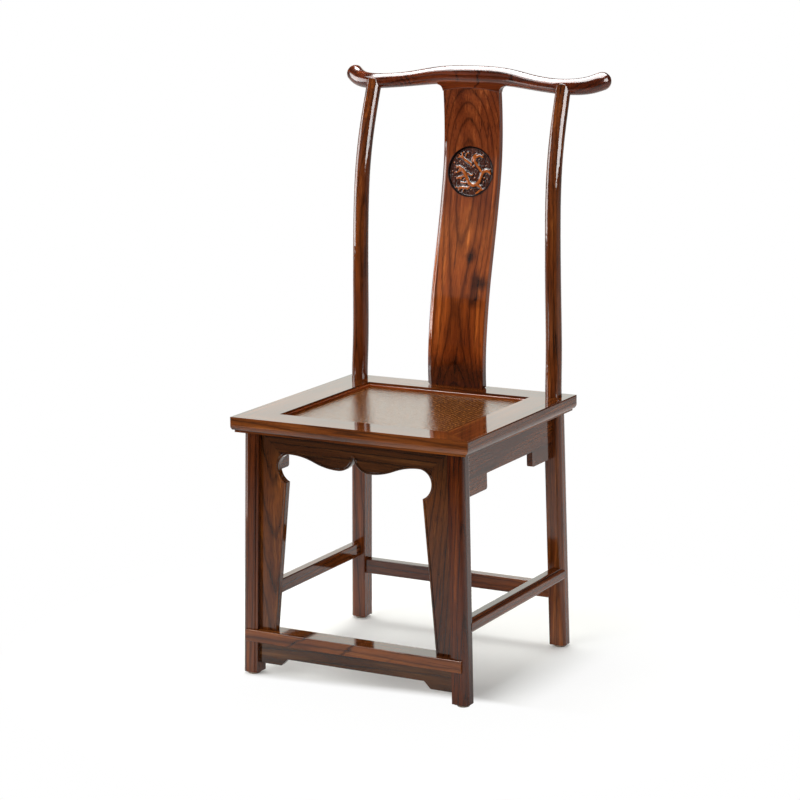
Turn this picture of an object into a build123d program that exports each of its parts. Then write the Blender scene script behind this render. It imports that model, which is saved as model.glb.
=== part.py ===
from build123d import *
import os

os.makedirs("parts", exist_ok=True)

# Overall sizes in millimetres; the front faces -Y and the glides stand on Z = 0
overall_height = 1124.0
overall_depth = 548.0
seat_width = 500.0
seat_depth = 462.0
seat_height = 502.0
seat_mid = seat_depth / 2 - overall_depth / 2

# Seat frame, its opening, and what lies in it
frame_thickness = 30.0
side_rail_width = 73.0
end_rail_width = 60.0
edge_round = 2.0
edge_straight = 15.0
edge_curve_height = 25.0
edge_curve_inset = 3.4
lip_inset = 6.9
mat_recess = 8.5
mat_thickness = 2.0
mat_press = 0.3
panel_thickness = 9.0
panel_tongue = 5.0
panel_tongue_thickness = 5.0
strip_width = 6.0
strip_height = 5.0
strip_round = 1.5
batten_width = 32.0
batten_thickness = 10.0
batten_spacing = 150.0
batten_tenon = 10.0
batten_tenon_width = 20.0
batten_tenon_thickness = 5.0
frame_tongue_cover = 12.0
frame_tongue_width = 10.0
frame_tongue_thickness = 8.0
frame_tongue_margin = 4.5
frame_tongue_rise = 2.5

# Legs: square inside, round outside, leaning out towards the floor
glide_height = 5.0
glide_radius = 12.0
nail_radius = 2.0
nail_length = 14.0
nail_head_radius = 4.5
nail_head_height = 1.2
nail_head_sink = 0.6
glide_edge = 1.0
leg_side = 32.5
leg_outer_round = 10.0
leg_inner_round = 1.5
leg_inset_side = 35.2
leg_inset_front = 33.0
leg_inset_rear = 26.4
leg_splay_side = 10.0
leg_splay_front = 7.6
leg_splay_rear = 5.2
strip_line_width = 6.0
strip_line_depth = 1.5
head_tenon_side = 14.0
head_tenon_height = 18.0

# Rear posts, round from the seat frame up
post_radius = 16.1
post_top_radius = 14.8
post_set = 4.3
post_height_shares = [0, 0.2, 0.42, 0.58, 0.70, 0.80, 0.90, 1, 1.02]
post_sweep_shares = [0, 0, 0.005, 0.038, 0.130, 0.313, 0.622, 1, 1.077]
post_lip_rise = 7.5
post_tenon_radius = 6.0
post_tenon_rise = 8.0
post_tenon_root = 16.0

# Crest rail: half lines from the middle to the centre of the round end
rail_half_width = 270.0
rail_tip_radius = 17.6
rail_x_shares = [0, 0.17, 0.33, 0.48, 0.62, 0.763, 0.86, 0.93, 1]
rail_plan_rise = 32.5
rail_plan_shares = [0.617, 0.635, 0.572, 0.363, 0.136, 0, 0.24, 0.57, 1]
rail_middle_radius = 18.2
rail_middle_depth = 15.5
rail_drop = 15.5
rail_drop_shares = [0, 0.05, 0.27, 0.63, 0.88, 1, 0.97, 0.79, 0.36]
rail_height_shares = [1, 0.984, 0.918, 0.824, 0.79, 0.824, 0.88, 0.935]
rail_depth_shares = [1, 0.987, 0.968, 0.942, 0.923, 0.942, 1.006, 1.077]

# Neck of the crest rail over the splat
neck_flare = 12.0
neck_side_drop = 31.5
neck_arch = 7.0
neck_margin = 1.0

# Splat
splat_width = 121.0
splat_thickness = 14.0
splat_foot_inset = 27.0
splat_set = 3.0
splat_height_shares = [0, 0.12, 0.222, 0.332, 0.483, 0.64, 0.745, 0.845, 1]
splat_sweep_shares = [0, 0, 0.09, 0.24, 0.523, 0.804, 0.945, 1, 0.948]
splat_edge = 4.5
splat_tenon_height = 16.0
splat_tenon_width = 100.0
splat_tenon_thickness = 8.0
roundel_radius = 48.0
roundel_drop = 161.5
roundel_rim = 3.0
roundel_rim_rise = 0.8
roundel_depth = 2.5

# Aprons under the seat
apron_thickness = 12.0
front_apron_recess = 11.0
side_apron_recess = 14.5
apron_height = 59.4
apron_drop_height = 89.0
apron_drop_width = 89.5
drop_round = 5.0
apron_tongue = 5.0
apron_tongue_thickness = 5.0
bead_width = 4.5
bead_rise = 1.6
bead_round_share = 0.85
mitre_tongue = 4.0
mitre_tongue_shares = (0.25, 0.75)

# Line of the front apron's opening, as shares of its depth from the frame down to the notches
ogee_depth = 91.5
cusp_drop_share = 0.326
lobe_across_share = 0.361
lobe_drop_share = 0.63
shoulder_inset_share = 0.683
shoulder_drop_share = 0.404
corner_inset_share = 0.41
corner_drop_share = 0.617
notch_inset_share = 0.597
board_foot_width = 35.2

# Stretchers and footrest
stretcher_round = 9.5
stretcher_proud = 0.8
side_stretcher_width = 24.0
side_stretcher_low = 135.0
side_stretcher_height = 27.5
rear_stretcher_width = 27.0
rear_stretcher_low = 98.0
rear_stretcher_height = 29.5
stretcher_tenon_length = 20.0
stretcher_tenon_height = 18.0
stretcher_tenon_thickness = 9.0
stretcher_wrap = 6.0
footrest_tenon_height = 14.0
footrest_low = 67.0
footrest_height = 23.3
footrest_lap = 5.4
footrest_depth = 42.0
footrest_end = 9.0
footrest_edge = 2.0
foot_apron_recess = 9.4
foot_apron_height = 29.3
foot_apron_drop = 42.8
foot_apron_drop_width = 47.2
foot_apron_slope = 13.5

# Room round glued joints, on each side
fit = 0.12

frame_under = seat_height - frame_thickness
mat_top = seat_height - mat_recess
panel_top = mat_top - mat_thickness
panel_under = panel_top - panel_thickness
half_leg = leg_side / 2
opening_width = seat_width - 2 * side_rail_width
opening_depth = seat_depth - 2 * end_rail_width
upward = Vector(0, 0, 1)

# Where the legs stand, from the seat's middle: at the frame's underside and on the glides
leg_head_spread = seat_width / 2 - leg_inset_side
leg_foot_spread = leg_head_spread + leg_splay_side
front_leg_head = (leg_head_spread, leg_inset_front - seat_depth / 2)
front_leg_foot = (leg_foot_spread, front_leg_head[1] - leg_splay_front)
rear_leg_head = (leg_head_spread, seat_depth / 2 - leg_inset_rear)
rear_leg_foot = (leg_foot_spread, rear_leg_head[1] + leg_splay_rear)


def between(first, last, share):
    """The number that lies a share of the way from the first to the last."""
    return first + (last - first) * share


def leg_centre(head, foot, level):
    """The centre of a leaning leg at a level, as a point of the part."""
    share = (level - glide_height) / (frame_under - glide_height)
    return Vector(between(foot[0], head[0], share), between(foot[1], head[1], share) + seat_mid, level)


def leaning(outline, low, high, head, foot):
    """A prism of one outline, ruled between two levels of a leaning leg."""
    with BuildPart() as prism:
        for level in (low, high):
            with BuildSketch(Plane(leg_centre(head, foot, level))):
                add(outline)
        loft(ruled=True)
    return prism.part


def block(x_range, y_range, z_range):
    """A plain block between three pairs of limits, with Y counted from the seat's middle."""
    with BuildPart() as solid:
        with BuildSketch(Plane((0, seat_mid, z_range[0]))):
            with Locations(((x_range[0] + x_range[1]) / 2, (y_range[0] + y_range[1]) / 2)):
                Rectangle(x_range[1] - x_range[0], y_range[1] - y_range[0])
        extrude(amount=z_range[1] - z_range[0])
    return solid.part


def rod(radius, x, y, z_range):
    """An upright round bar, with Y counted from the seat's middle."""
    with BuildPart() as solid:
        with BuildSketch(Plane((x, y + seat_mid, z_range[0]))):
            Circle(radius)
        extrude(amount=z_range[1] - z_range[0])
    return solid.part


def about(value, room):
    """Limits at the same distance on either side of a value."""
    return (value - room, value + room)


# Leg outlines, drawn for the right-hand legs
with BuildSketch() as leg_outline:
    Rectangle(leg_side, leg_side)
    fillet(leg_outline.vertices().group_by(Axis.X)[-1], leg_outer_round)
    fillet(leg_outline.vertices().group_by(Axis.X)[0], leg_inner_round)

with BuildSketch() as strip_line:
    with Locations((strip_line_width / 2 - half_leg, strip_line_depth / 2 - half_leg)):
        Rectangle(strip_line_width, strip_line_depth)

front_leg_line = (front_leg_head, front_leg_foot)
rear_leg_line = (rear_leg_head, rear_leg_foot)
front_leg_solid = leaning(leg_outline.sketch, glide_height, frame_under, *front_leg_line)
rear_leg_solid = leaning(leg_outline.sketch, glide_height, frame_under, *rear_leg_line)
front_legs_solid = front_leg_solid + mirror(front_leg_solid, about=Plane.YZ)
rear_legs_solid = rear_leg_solid + mirror(rear_leg_solid, about=Plane.YZ)


# Middle line and body of the crest rail
post_reach = overall_height - rail_middle_radius - rail_drop
rail_plan_low = overall_depth / 2 - rail_tip_radius - seat_mid - rail_plan_rise
rail_plan_middle = rail_plan_low + rail_plan_rise * rail_plan_shares[0]
post_dip = rail_plan_shares.index(0)
post_top = (rail_half_width * rail_x_shares[post_dip], rail_plan_low - post_set)


def rail_point(index, side):
    """A point of the rail's middle line, to the right for side 1 and to the left for side -1."""
    return Vector(
        side * rail_half_width * rail_x_shares[index],
        rail_plan_low + rail_plan_rise * rail_plan_shares[index] + seat_mid,
        overall_height - rail_middle_radius - rail_drop * rail_drop_shares[index],
    )


rail_last = len(rail_x_shares) - 1
rail_points = [rail_point(i, -1) for i in range(rail_last, 0, -1)]
rail_points += [rail_point(i, 1) for i in range(rail_last + 1)]
rail_steps = list(range(rail_last, 0, -1)) + list(range(rail_last + 1))
rail_half_heights = [rail_middle_radius * share for share in rail_height_shares] + [rail_tip_radius]
rail_half_depths = [rail_middle_depth * share for share in rail_depth_shares] + [rail_tip_radius]
with BuildLine() as rail_line:
    rail_path = Spline(*rail_points)


def rail_body(room):
    """The rail without its joints, a room larger all round, with half-round ends."""
    with BuildPart() as body:
        for index, point in zip(rail_steps, rail_points):
            along = rail_path % rail_path.param_at_point(point)
            with BuildSketch(Plane(point, x_dir=upward.cross(along), z_dir=along)):
                Ellipse(rail_half_depths[index] + room, rail_half_heights[index] + room)
        loft()
        for end, side in ((rail_points[0], -1), (rail_points[-1], 1)):
            outward = (rail_path % rail_path.param_at_point(end)) * side
            with Locations(Location(Plane(end, z_dir=outward))):
                Sphere(rail_tip_radius + room, arc_size1=0, align=(Align.CENTER, Align.CENTER, Align.MIN))
    return body.part


# Neck that comes down from the rail onto the splat
splat_foot = seat_depth / 2 - splat_foot_inset
splat_mid_plan = rail_plan_middle - splat_set
splat_top_plan = splat_mid_plan - splat_thickness / 2
splat_sweep = (splat_top_plan - splat_foot) / splat_sweep_shares[-1]
neck_low = overall_height - rail_middle_radius - neck_side_drop
neck_high = overall_height - rail_middle_radius
neck_half = splat_width / 2 + neck_margin
neck_face = Plane((0, splat_top_plan - neck_margin + seat_mid, 0), x_dir=(1, 0, 0), z_dir=(0, -1, 0))
with BuildPart() as neck:
    with BuildSketch(neck_face):
        with BuildLine():
            RadiusArc((-neck_half - neck_flare, neck_low + neck_flare), (-neck_half, neck_low), neck_flare)
            ThreePointArc((-neck_half, neck_low), (0, neck_low + neck_arch), (neck_half, neck_low))
            RadiusArc((neck_half, neck_low), (neck_half + neck_flare, neck_low + neck_flare), neck_flare)
            Polyline(
                (neck_half + neck_flare, neck_low + neck_flare),
                (neck_half + neck_flare, neck_high),
                (-neck_half - neck_flare, neck_high),
                (-neck_half - neck_flare, neck_low + neck_flare),
            )
        make_face()
    extrude(amount=-splat_thickness - 2 * neck_margin)


def splat_tongue(room):
    """The tongue on top of the splat, in the crest rail's groove."""
    return block(
        about(0, splat_tenon_width / 2 + room),
        about(splat_mid_plan, splat_tenon_thickness / 2 + room),
        (neck_low - room, neck_low + neck_arch + splat_tenon_height + room),
    )


def post_tenon(room):
    """The round tenon on top of the right-hand post."""
    heights = (post_reach - post_tenon_root, post_reach + post_tenon_rise + room)
    return rod(post_tenon_radius + room, post_top[0], (post_top[1] + rail_plan_low) / 2, heights)


with BuildPart() as crest_rail:
    add(rail_body(0))
    add(neck.part)
    add(splat_tongue(fit), mode=Mode.SUBTRACT)
    add(post_tenon(fit), mode=Mode.SUBTRACT)
    add(mirror(post_tenon(fit), about=Plane.YZ), mode=Mode.SUBTRACT)
crest_rail.part.label = "crest_rail"
export_step(crest_rail.part, "parts/crest_rail.step")


# Boards that lean with the legs they stand between
def lean_of(line, axis):
    """How far a leg moves along an axis for each unit that it rises."""
    return (line[0][axis] - line[1][axis]) / (frame_under - glide_height)


def board_plane(outward, lean, distance):
    """A plane that leans with the legs, at a distance from the seat's middle where it meets the frame."""
    normal = Vector(outward[0], outward[1], -lean).normalized()
    across = upward.cross(normal).normalized()
    head = Vector(outward[0] * distance, outward[1] * distance + seat_mid, frame_under)
    return Plane(head - normal.cross(across) * frame_under, x_dir=across, z_dir=normal)


def panel_of(plane, corners, thickness, recess=0):
    """A flat board behind a plane, its outline given across and up from the floor."""
    with BuildPart() as panel:
        with BuildSketch(plane.offset(-recess)):
            with BuildLine():
                Polyline(*corners, close=True)
            make_face()
        extrude(amount=-thickness)
    return panel.part


apron_low = frame_under - apron_height
footrest_top = footrest_low + footrest_height
front_lean = lean_of(front_leg_line, 1)
side_lean = lean_of(front_leg_line, 0)
rear_lean = lean_of(rear_leg_line, 1)
front_reach = half_leg - front_leg_head[1]
rear_reach = half_leg + rear_leg_head[1]
side_reach = half_leg + leg_head_spread
front_plane = board_plane((0, -1), -front_lean, front_reach - front_apron_recess)
foot_plane = board_plane((0, -1), -front_lean, front_reach - foot_apron_recess)
side_plane = board_plane((1, 0), side_lean, side_reach - side_apron_recess)
rear_plane = board_plane((0, 1), rear_lean, rear_reach - side_apron_recess)
tongue_recess = (apron_thickness - apron_tongue_thickness) / 2


def leg_inside(line, level):
    """How far from the middle the inner face of a leg is at a level."""
    return leg_centre(*line, level).X - half_leg


def thin_board(plane, corners, room):
    """A tongue in the middle of a board's thickness."""
    return panel_of(plane, corners, apron_tongue_thickness + 2 * room, tongue_recess - room)


def apron_tongues(plane, first, last, room):
    """The tongues of a notched apron: two ends in the legs, and the top in the seat frame."""
    low = apron_low + bead_width - room
    sill = frame_under - edge_round
    top = frame_under + apron_tongue + room
    first_end = first - apron_tongue - room
    last_end = last + apron_tongue + room
    first_step = first + leg_side - room
    last_step = last - leg_side + room
    corners = [(first_end, low), (first_end, sill), (first_step, sill), (first_step, top)]
    corners += [(last_step, top), (last_step, sill), (last_end, sill), (last_end, low)]
    return thin_board(plane, corners, room)


side_limits = (front_leg_head[1] + half_leg, rear_leg_head[1] - half_leg)
rear_limits = (half_leg - leg_head_spread, leg_head_spread - half_leg)


def side_apron_tongues(room):
    """The tongues of the right-hand side apron."""
    return apron_tongues(side_plane, *side_limits, room)


def rear_apron_tongues(room):
    """The tongues of the rear apron."""
    return apron_tongues(rear_plane, *rear_limits, room)


def notched_apron(plane, limits):
    """A board with a drop at either end, cut off level under the seat frame, before its joints."""
    first = limits[0] + apron_drop_width
    last = limits[1] - apron_drop_width
    drop = frame_under - apron_drop_height
    with BuildPart() as apron:
        with BuildSketch(plane) as outline:
            with BuildLine():
                Polyline(
                    (limits[0] - half_leg, drop),
                    (first, drop),
                    (first, apron_low),
                    (last, apron_low),
                    (last, drop),
                    (limits[1] + half_leg, drop),
                    (limits[1] + half_leg, frame_under + edge_round),
                    (limits[0] - half_leg, frame_under + edge_round),
                    close=True,
                )
            make_face()
            fillet(outline.vertices().group_by(Axis.Y)[0].sort_by(Axis.X)[1:3], drop_round)
        extrude(amount=-apron_thickness)
        split(bisect_by=Plane.XY.offset(frame_under), keep=Keep.BOTTOM)
    return apron.part


# Side aprons and rear apron
with BuildPart() as side_apron_right:
    add(notched_apron(side_plane, side_limits))
    add(front_legs_solid, mode=Mode.SUBTRACT)
    add(rear_legs_solid, mode=Mode.SUBTRACT)
    add(side_apron_tongues(0))
side_apron_right.part.label = "side_apron_right"
export_step(side_apron_right.part, "parts/side_apron_right.step")

with BuildPart() as side_apron_left:
    mirror(side_apron_right.part, about=Plane.YZ)
side_apron_left.part.label = "side_apron_left"
export_step(side_apron_left.part, "parts/side_apron_left.step")

with BuildPart() as rear_apron:
    add(notched_apron(rear_plane, rear_limits))
    add(rear_legs_solid, mode=Mode.SUBTRACT)
    add(rear_apron_tongues(0))
rear_apron.part.label = "rear_apron"
export_step(rear_apron.part, "parts/rear_apron.step")


# Front apron: one curved line runs over a top board and two side boards that meet it at mitres
mitre_end = (leg_head_spread - half_leg, frame_under)
board_foot = leg_inside(front_leg_line, footrest_top) - board_foot_width
cusp = (0, frame_under - ogee_depth * cusp_drop_share)
lobe = (ogee_depth * lobe_across_share, frame_under - ogee_depth * lobe_drop_share)


def ogee_point(inset_share, drop_share):
    """A point of the ogee line, counted from the upper corner where the mitre ends."""
    return (mitre_end[0] - ogee_depth * inset_share, frame_under - ogee_depth * drop_share)


shoulder = ogee_point(shoulder_inset_share, shoulder_drop_share)
corner_side = ogee_point(corner_inset_share, corner_drop_share)
notch = ogee_point(notch_inset_share, 1)
rise = ((lobe[0] + shoulder[0]) / 2, (lobe[1] + shoulder[1]) / 2)
with BuildSketch() as apron_opening:
    with BuildLine():
        TangentArc(lobe, cusp, tangent=(-1, 0))
        TangentArc(lobe, rise, tangent=(1, 0))
        TangentArc(shoulder, rise, tangent=(-1, 0))
        corner_arc = TangentArc(shoulder, corner_side, tangent=(1, 0))
        TangentArc(corner_side, notch, tangent=corner_arc % 1)
        Polyline(notch, (board_foot, footrest_top), (board_foot, footrest_low), (0, footrest_low))
        mirror(about=Plane.YZ)
    make_face()

with BuildSketch() as bead_band:
    add(apron_opening.sketch)
    offset(amount=bead_width)
    add(apron_opening.sketch, mode=Mode.SUBTRACT)

with BuildPart() as bead:
    with BuildSketch():
        add(bead_band.sketch)
    extrude(amount=bead_rise)
    fillet(bead.faces().sort_by(Axis.Z)[-1].edges(), bead_rise * bead_round_share)

with BuildPart() as whole_apron:
    with BuildSketch(front_plane):
        with Locations((0, (frame_under + footrest_low) / 2)):
            Rectangle(2 * leg_head_spread, frame_under - footrest_low + 2 * edge_round)
        add(apron_opening.sketch, mode=Mode.SUBTRACT)
    extrude(amount=-apron_thickness)
    add(front_plane.location * bead.part)
    split(bisect_by=Plane.XY.offset(frame_under), keep=Keep.BOTTOM)
    split(bisect_by=Plane.XY.offset(footrest_top), keep=Keep.TOP)
    add(front_legs_solid, mode=Mode.SUBTRACT)

corner = ((corner_arc @ 0.5).X, (corner_arc @ 0.5).Y)
right_corners = [(mitre_end[0], frame_under + leg_side), mitre_end, corner, (notch[0], lobe[1] - bead_width)]
left_corners = [(-across, height) for across, height in reversed(right_corners)]
top_board_room = panel_of(front_plane.offset(leg_side), right_corners + left_corners, 2 * leg_side)


def frame_apron_tongue(room):
    """The tongue on the top edge of the front apron, in the front rail."""
    half = mitre_end[0] - leg_side + room
    sill = frame_under - edge_round
    top = frame_under + apron_tongue + room
    return thin_board(front_plane, [(-half, sill), (half, sill), (half, top), (-half, top)], room)


def mitre_tongue_board(room):
    """The tongue of the right-hand board across its mitre, in the top board."""
    start = Vector(*corner)
    run = Vector(*mitre_end) - start
    into = run.normalized().rotate(Axis.Z, 90)
    first = start + run * mitre_tongue_shares[0] - run.normalized() * room
    last = start + run * mitre_tongue_shares[1] + run.normalized() * room
    root = into * -mitre_tongue
    tip = into * (mitre_tongue + room)
    points = [first + root, last + root, last + tip, first + tip]
    return thin_board(front_plane, [(point.X, point.Y) for point in points], room)


def leg_board_tongue(room):
    """The tongue of the right-hand board along its leg."""
    low = footrest_top + apron_tongue - room
    high = frame_under - 2 * apron_tongue + room
    low_edge = leg_inside(front_leg_line, low)
    high_edge = leg_inside(front_leg_line, high)
    corners = [
        (low_edge - apron_tongue, low),
        (low_edge + apron_tongue + room, low),
        (high_edge + apron_tongue + room, high),
        (high_edge - apron_tongue, high),
    ]
    return thin_board(front_plane, corners, room)


def foot_board_tongue(room):
    """The tongue at the foot of the right-hand board, in the footrest."""
    first = board_foot + bead_width - room
    last = leg_inside(front_leg_line, footrest_top) - bead_width + room
    low = footrest_top - apron_tongue - room
    high = footrest_top + apron_tongue
    return thin_board(front_plane, [(first, low), (last, low), (last, high), (first, high)], room)


with BuildPart() as front_apron_top:
    add(whole_apron.part)
    add(top_board_room, mode=Mode.INTERSECT)
    add(mitre_tongue_board(fit), mode=Mode.SUBTRACT)
    add(mirror(mitre_tongue_board(fit), about=Plane.YZ), mode=Mode.SUBTRACT)
    add(frame_apron_tongue(0))
front_apron_top.part.label = "front_apron_top"
export_step(front_apron_top.part, "parts/front_apron_top.step")

with BuildPart() as front_apron_right:
    add(whole_apron.part)
    split(bisect_by=Plane.YZ, keep=Keep.TOP)
    add(top_board_room, mode=Mode.SUBTRACT)
    add(mitre_tongue_board(0))
    add(leg_board_tongue(0))
    add(foot_board_tongue(0))
front_apron_right.part.label = "front_apron_right"
export_step(front_apron_right.part, "parts/front_apron_right.step")

with BuildPart() as front_apron_left:
    mirror(front_apron_right.part, about=Plane.YZ)
front_apron_left.part.label = "front_apron_left"
export_step(front_apron_left.part, "parts/front_apron_left.step")


# Side stretchers, which wrap the round corners of the legs, and the rear stretcher
side_level = side_stretcher_low + side_stretcher_height / 2
front_at_side = leg_centre(*front_leg_line, side_level)
rear_at_side = leg_centre(*rear_leg_line, side_level)
rear_level = rear_stretcher_low + rear_stretcher_height / 2
rear_at_back = leg_centre(*rear_leg_line, rear_level)
side_outer = front_at_side.X + half_leg + stretcher_proud
rear_outer = rear_at_back.Y + half_leg


def side_stretcher_tenons(room):
    """The two tenons of the right-hand side stretcher, as one bar through it."""
    return block(
        about(front_at_side.X, stretcher_tenon_thickness / 2 + room),
        (
            front_at_side.Y - seat_mid + half_leg - stretcher_tenon_length - room,
            rear_at_side.Y - seat_mid - half_leg + stretcher_tenon_length + room,
        ),
        about(side_level, stretcher_tenon_height / 2 + room),
    )


def rear_stretcher_tenons(room):
    """The two tenons of the rear stretcher, as one bar through it."""
    return block(
        about(0, rear_at_back.X - half_leg + stretcher_tenon_length + room),
        about(rear_at_back.Y - seat_mid, stretcher_tenon_thickness / 2 + room),
        about(rear_level, stretcher_tenon_height / 2 + room),
    )


stretcher_first = front_at_side.Y + stretcher_wrap
stretcher_last = rear_at_side.Y - stretcher_wrap
with BuildPart() as side_stretcher_right:
    with BuildSketch(Plane.XZ.offset(-stretcher_last)) as section:
        with Locations((side_outer - side_stretcher_width / 2, side_level)):
            Rectangle(side_stretcher_width, side_stretcher_height)
        fillet(section.vertices().group_by(Axis.X)[-1], stretcher_round)
        fillet(section.vertices().group_by(Axis.X)[0], edge_round)
    extrude(amount=stretcher_last - stretcher_first)
    with BuildSketch(Plane.YZ):
        with Locations(((stretcher_first + stretcher_last) / 2, side_level)):
            RectangleRounded(stretcher_last - stretcher_first, side_stretcher_height, stretcher_round)
    extrude(amount=seat_width, mode=Mode.INTERSECT)
    add(front_legs_solid, mode=Mode.SUBTRACT)
    add(rear_legs_solid, mode=Mode.SUBTRACT)
    add(side_stretcher_tenons(0))
side_stretcher_right.part.label = "side_stretcher_right"
export_step(side_stretcher_right.part, "parts/side_stretcher_right.step")

with BuildPart() as side_stretcher_left:
    mirror(side_stretcher_right.part, about=Plane.YZ)
side_stretcher_left.part.label = "side_stretcher_left"
export_step(side_stretcher_left.part, "parts/side_stretcher_left.step")

with BuildPart() as rear_stretcher:
    with BuildSketch(Plane.YZ) as section:
        with Locations((rear_outer - rear_stretcher_width / 2, rear_level)):
            Rectangle(rear_stretcher_width, rear_stretcher_height)
        fillet(section.vertices().group_by(Axis.X)[-1], stretcher_round)
        fillet(section.vertices().group_by(Axis.X)[0], edge_round)
    extrude(amount=rear_at_back.X, both=True)
    add(rear_legs_solid, mode=Mode.SUBTRACT)
    add(rear_stretcher_tenons(0))
rear_stretcher.part.label = "rear_stretcher"
export_step(rear_stretcher.part, "parts/rear_stretcher.step")


# Footrest, notched round the front legs, and the thin apron under it
footrest_level = (footrest_low + footrest_top) / 2
front_at_rest = leg_centre(*front_leg_line, footrest_level)
foot_limit = leg_inside(front_leg_line, footrest_low)
footrest_front = front_at_rest.Y - seat_mid - half_leg - footrest_lap
footrest_half = front_at_rest.X + half_leg - footrest_end


def footrest_tenons(room):
    """The two tenons of the footrest, as one bar through it."""
    return block(
        about(0, front_at_rest.X - half_leg + stretcher_tenon_length + room),
        about(front_at_rest.Y - seat_mid, stretcher_tenon_thickness / 2 + room),
        about(footrest_level, footrest_tenon_height / 2 + room),
    )


def foot_apron_tongues(room):
    """The tongues of the footrest apron: two ends in the legs, and the top in the footrest."""
    low = footrest_low - foot_apron_height + bead_width - room
    sill = footrest_low - edge_round
    top = footrest_low + apron_tongue + room
    end = foot_limit + apron_tongue + room
    step = foot_limit - leg_side + room
    corners = [(-end, low), (-end, sill), (-step, sill), (-step, top)]
    corners += [(-across, height) for across, height in reversed(corners)]
    return thin_board(foot_plane, corners, room)


with BuildPart() as footrest:
    with BuildSketch(Plane((0, seat_mid, footrest_low))):
        with Locations((0, (footrest_front + front_at_rest.Y - seat_mid) / 2)):
            Rectangle(2 * footrest_half, front_at_rest.Y - seat_mid - footrest_front)
        with Locations((0, footrest_front + footrest_depth / 2)):
            Rectangle(2 * foot_limit, footrest_depth)
    extrude(amount=footrest_top - footrest_low)
    add(front_legs_solid, mode=Mode.SUBTRACT)
    fillet(footrest.edges().filter_by(Axis.X).group_by(Axis.Y)[0], footrest_edge)
    add(footrest_tenons(0))
    add(foot_board_tongue(fit), mode=Mode.SUBTRACT)
    add(mirror(foot_board_tongue(fit), about=Plane.YZ), mode=Mode.SUBTRACT)
    add(foot_apron_tongues(fit), mode=Mode.SUBTRACT)
footrest.part.label = "footrest"
export_step(footrest.part, "parts/footrest.step")

foot_drop = footrest_low - foot_apron_drop
foot_middle = footrest_low - foot_apron_height
foot_step = foot_limit - foot_apron_drop_width
with BuildPart() as footrest_apron:
    with BuildSketch(foot_plane):
        with BuildLine():
            Polyline(
                (0, foot_middle),
                (foot_step - foot_apron_slope, foot_middle),
                (foot_step, foot_drop),
                (leg_foot_spread, foot_drop),
                (leg_foot_spread, footrest_top),
                (0, footrest_top),
            )
            mirror(about=Plane.YZ)
        make_face()
    extrude(amount=-apron_thickness)
    split(bisect_by=Plane.XY.offset(footrest_low), keep=Keep.BOTTOM)
    add(front_legs_solid, mode=Mode.SUBTRACT)
    add(foot_apron_tongues(0))
footrest_apron.part.label = "footrest_apron"
export_step(footrest_apron.part, "parts/footrest_apron.step")


# Glides, nailed under the legs
def glide_nail(foot, room):
    """The nail under one leg, its head sunk in the glide."""
    head_low = nail_head_sink if room == 0 else 0
    head = rod(nail_head_radius + room, *foot, (head_low, nail_head_sink + nail_head_height))
    return head + rod(nail_radius, *foot, (nail_head_sink, nail_head_sink + nail_length))


def foot_glide(foot):
    """One round glide with its nail hole."""
    with BuildPart() as glide:
        add(rod(glide_radius, *foot, (0, glide_height)))
        chamfer(glide.edges().group_by(Axis.Z)[0], glide_edge)
        add(glide_nail(foot, fit), mode=Mode.SUBTRACT)
    return glide.part


with BuildPart() as glide_front_right:
    add(foot_glide(front_leg_foot))
glide_front_right.part.label = "glide_front_right"
export_step(glide_front_right.part, "parts/glide_front_right.step")

with BuildPart() as glide_front_left:
    mirror(glide_front_right.part, about=Plane.YZ)
glide_front_left.part.label = "glide_front_left"
export_step(glide_front_left.part, "parts/glide_front_left.step")

with BuildPart() as glide_rear_right:
    add(foot_glide(rear_leg_foot))
glide_rear_right.part.label = "glide_rear_right"
export_step(glide_rear_right.part, "parts/glide_rear_right.step")

with BuildPart() as glide_rear_left:
    mirror(glide_rear_right.part, about=Plane.YZ)
glide_rear_left.part.label = "glide_rear_left"
export_step(glide_rear_left.part, "parts/glide_rear_left.step")

right_nails = glide_nail(front_leg_foot, 0) + glide_nail(rear_leg_foot, 0)
with BuildPart() as glide_nails:
    add(right_nails)
    mirror(right_nails, about=Plane.YZ)
glide_nails.part.label = "glide_nails"
export_step(glide_nails.part, "parts/glide_nails.step")


# Front legs
def head_tenon(room):
    """The tenon on top of the right-hand front leg, across the mitre of the seat frame."""
    return block(
        about(leg_head_spread, head_tenon_side / 2 + room),
        about(front_leg_head[1], head_tenon_side / 2 + room),
        (frame_under - head_tenon_height, frame_under + head_tenon_height + room),
    )


with BuildPart() as front_leg_right:
    add(front_leg_solid)
    add(leaning(strip_line.sketch, glide_height, frame_under, *front_leg_line), mode=Mode.SUBTRACT)
    add(leg_board_tongue(fit), mode=Mode.SUBTRACT)
    add(side_apron_tongues(fit), mode=Mode.SUBTRACT)
    add(side_stretcher_tenons(fit), mode=Mode.SUBTRACT)
    add(footrest_tenons(fit), mode=Mode.SUBTRACT)
    add(foot_apron_tongues(fit), mode=Mode.SUBTRACT)
    add(glide_nail(front_leg_foot, 0), mode=Mode.SUBTRACT)
    add(head_tenon(0))
front_leg_right.part.label = "front_leg_right"
export_step(front_leg_right.part, "parts/front_leg_right.step")

with BuildPart() as front_leg_left:
    mirror(front_leg_right.part, about=Plane.YZ)
front_leg_left.part.label = "front_leg_left"
export_step(front_leg_left.part, "parts/front_leg_left.step")


# Rear legs, which go on above the seat frame as round posts
def post_point(index):
    """A point of the right-hand post's middle line."""
    height_share = post_height_shares[index]
    return Vector(
        between(rear_leg_head[0], post_top[0], height_share),
        between(rear_leg_head[1], post_top[1], post_sweep_shares[index]) + seat_mid,
        between(frame_under, post_reach, height_share),
    )


post_points = [post_point(index) for index in range(len(post_height_shares))]
with BuildLine() as post_line:
    post_path = Spline(*post_points)


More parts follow.
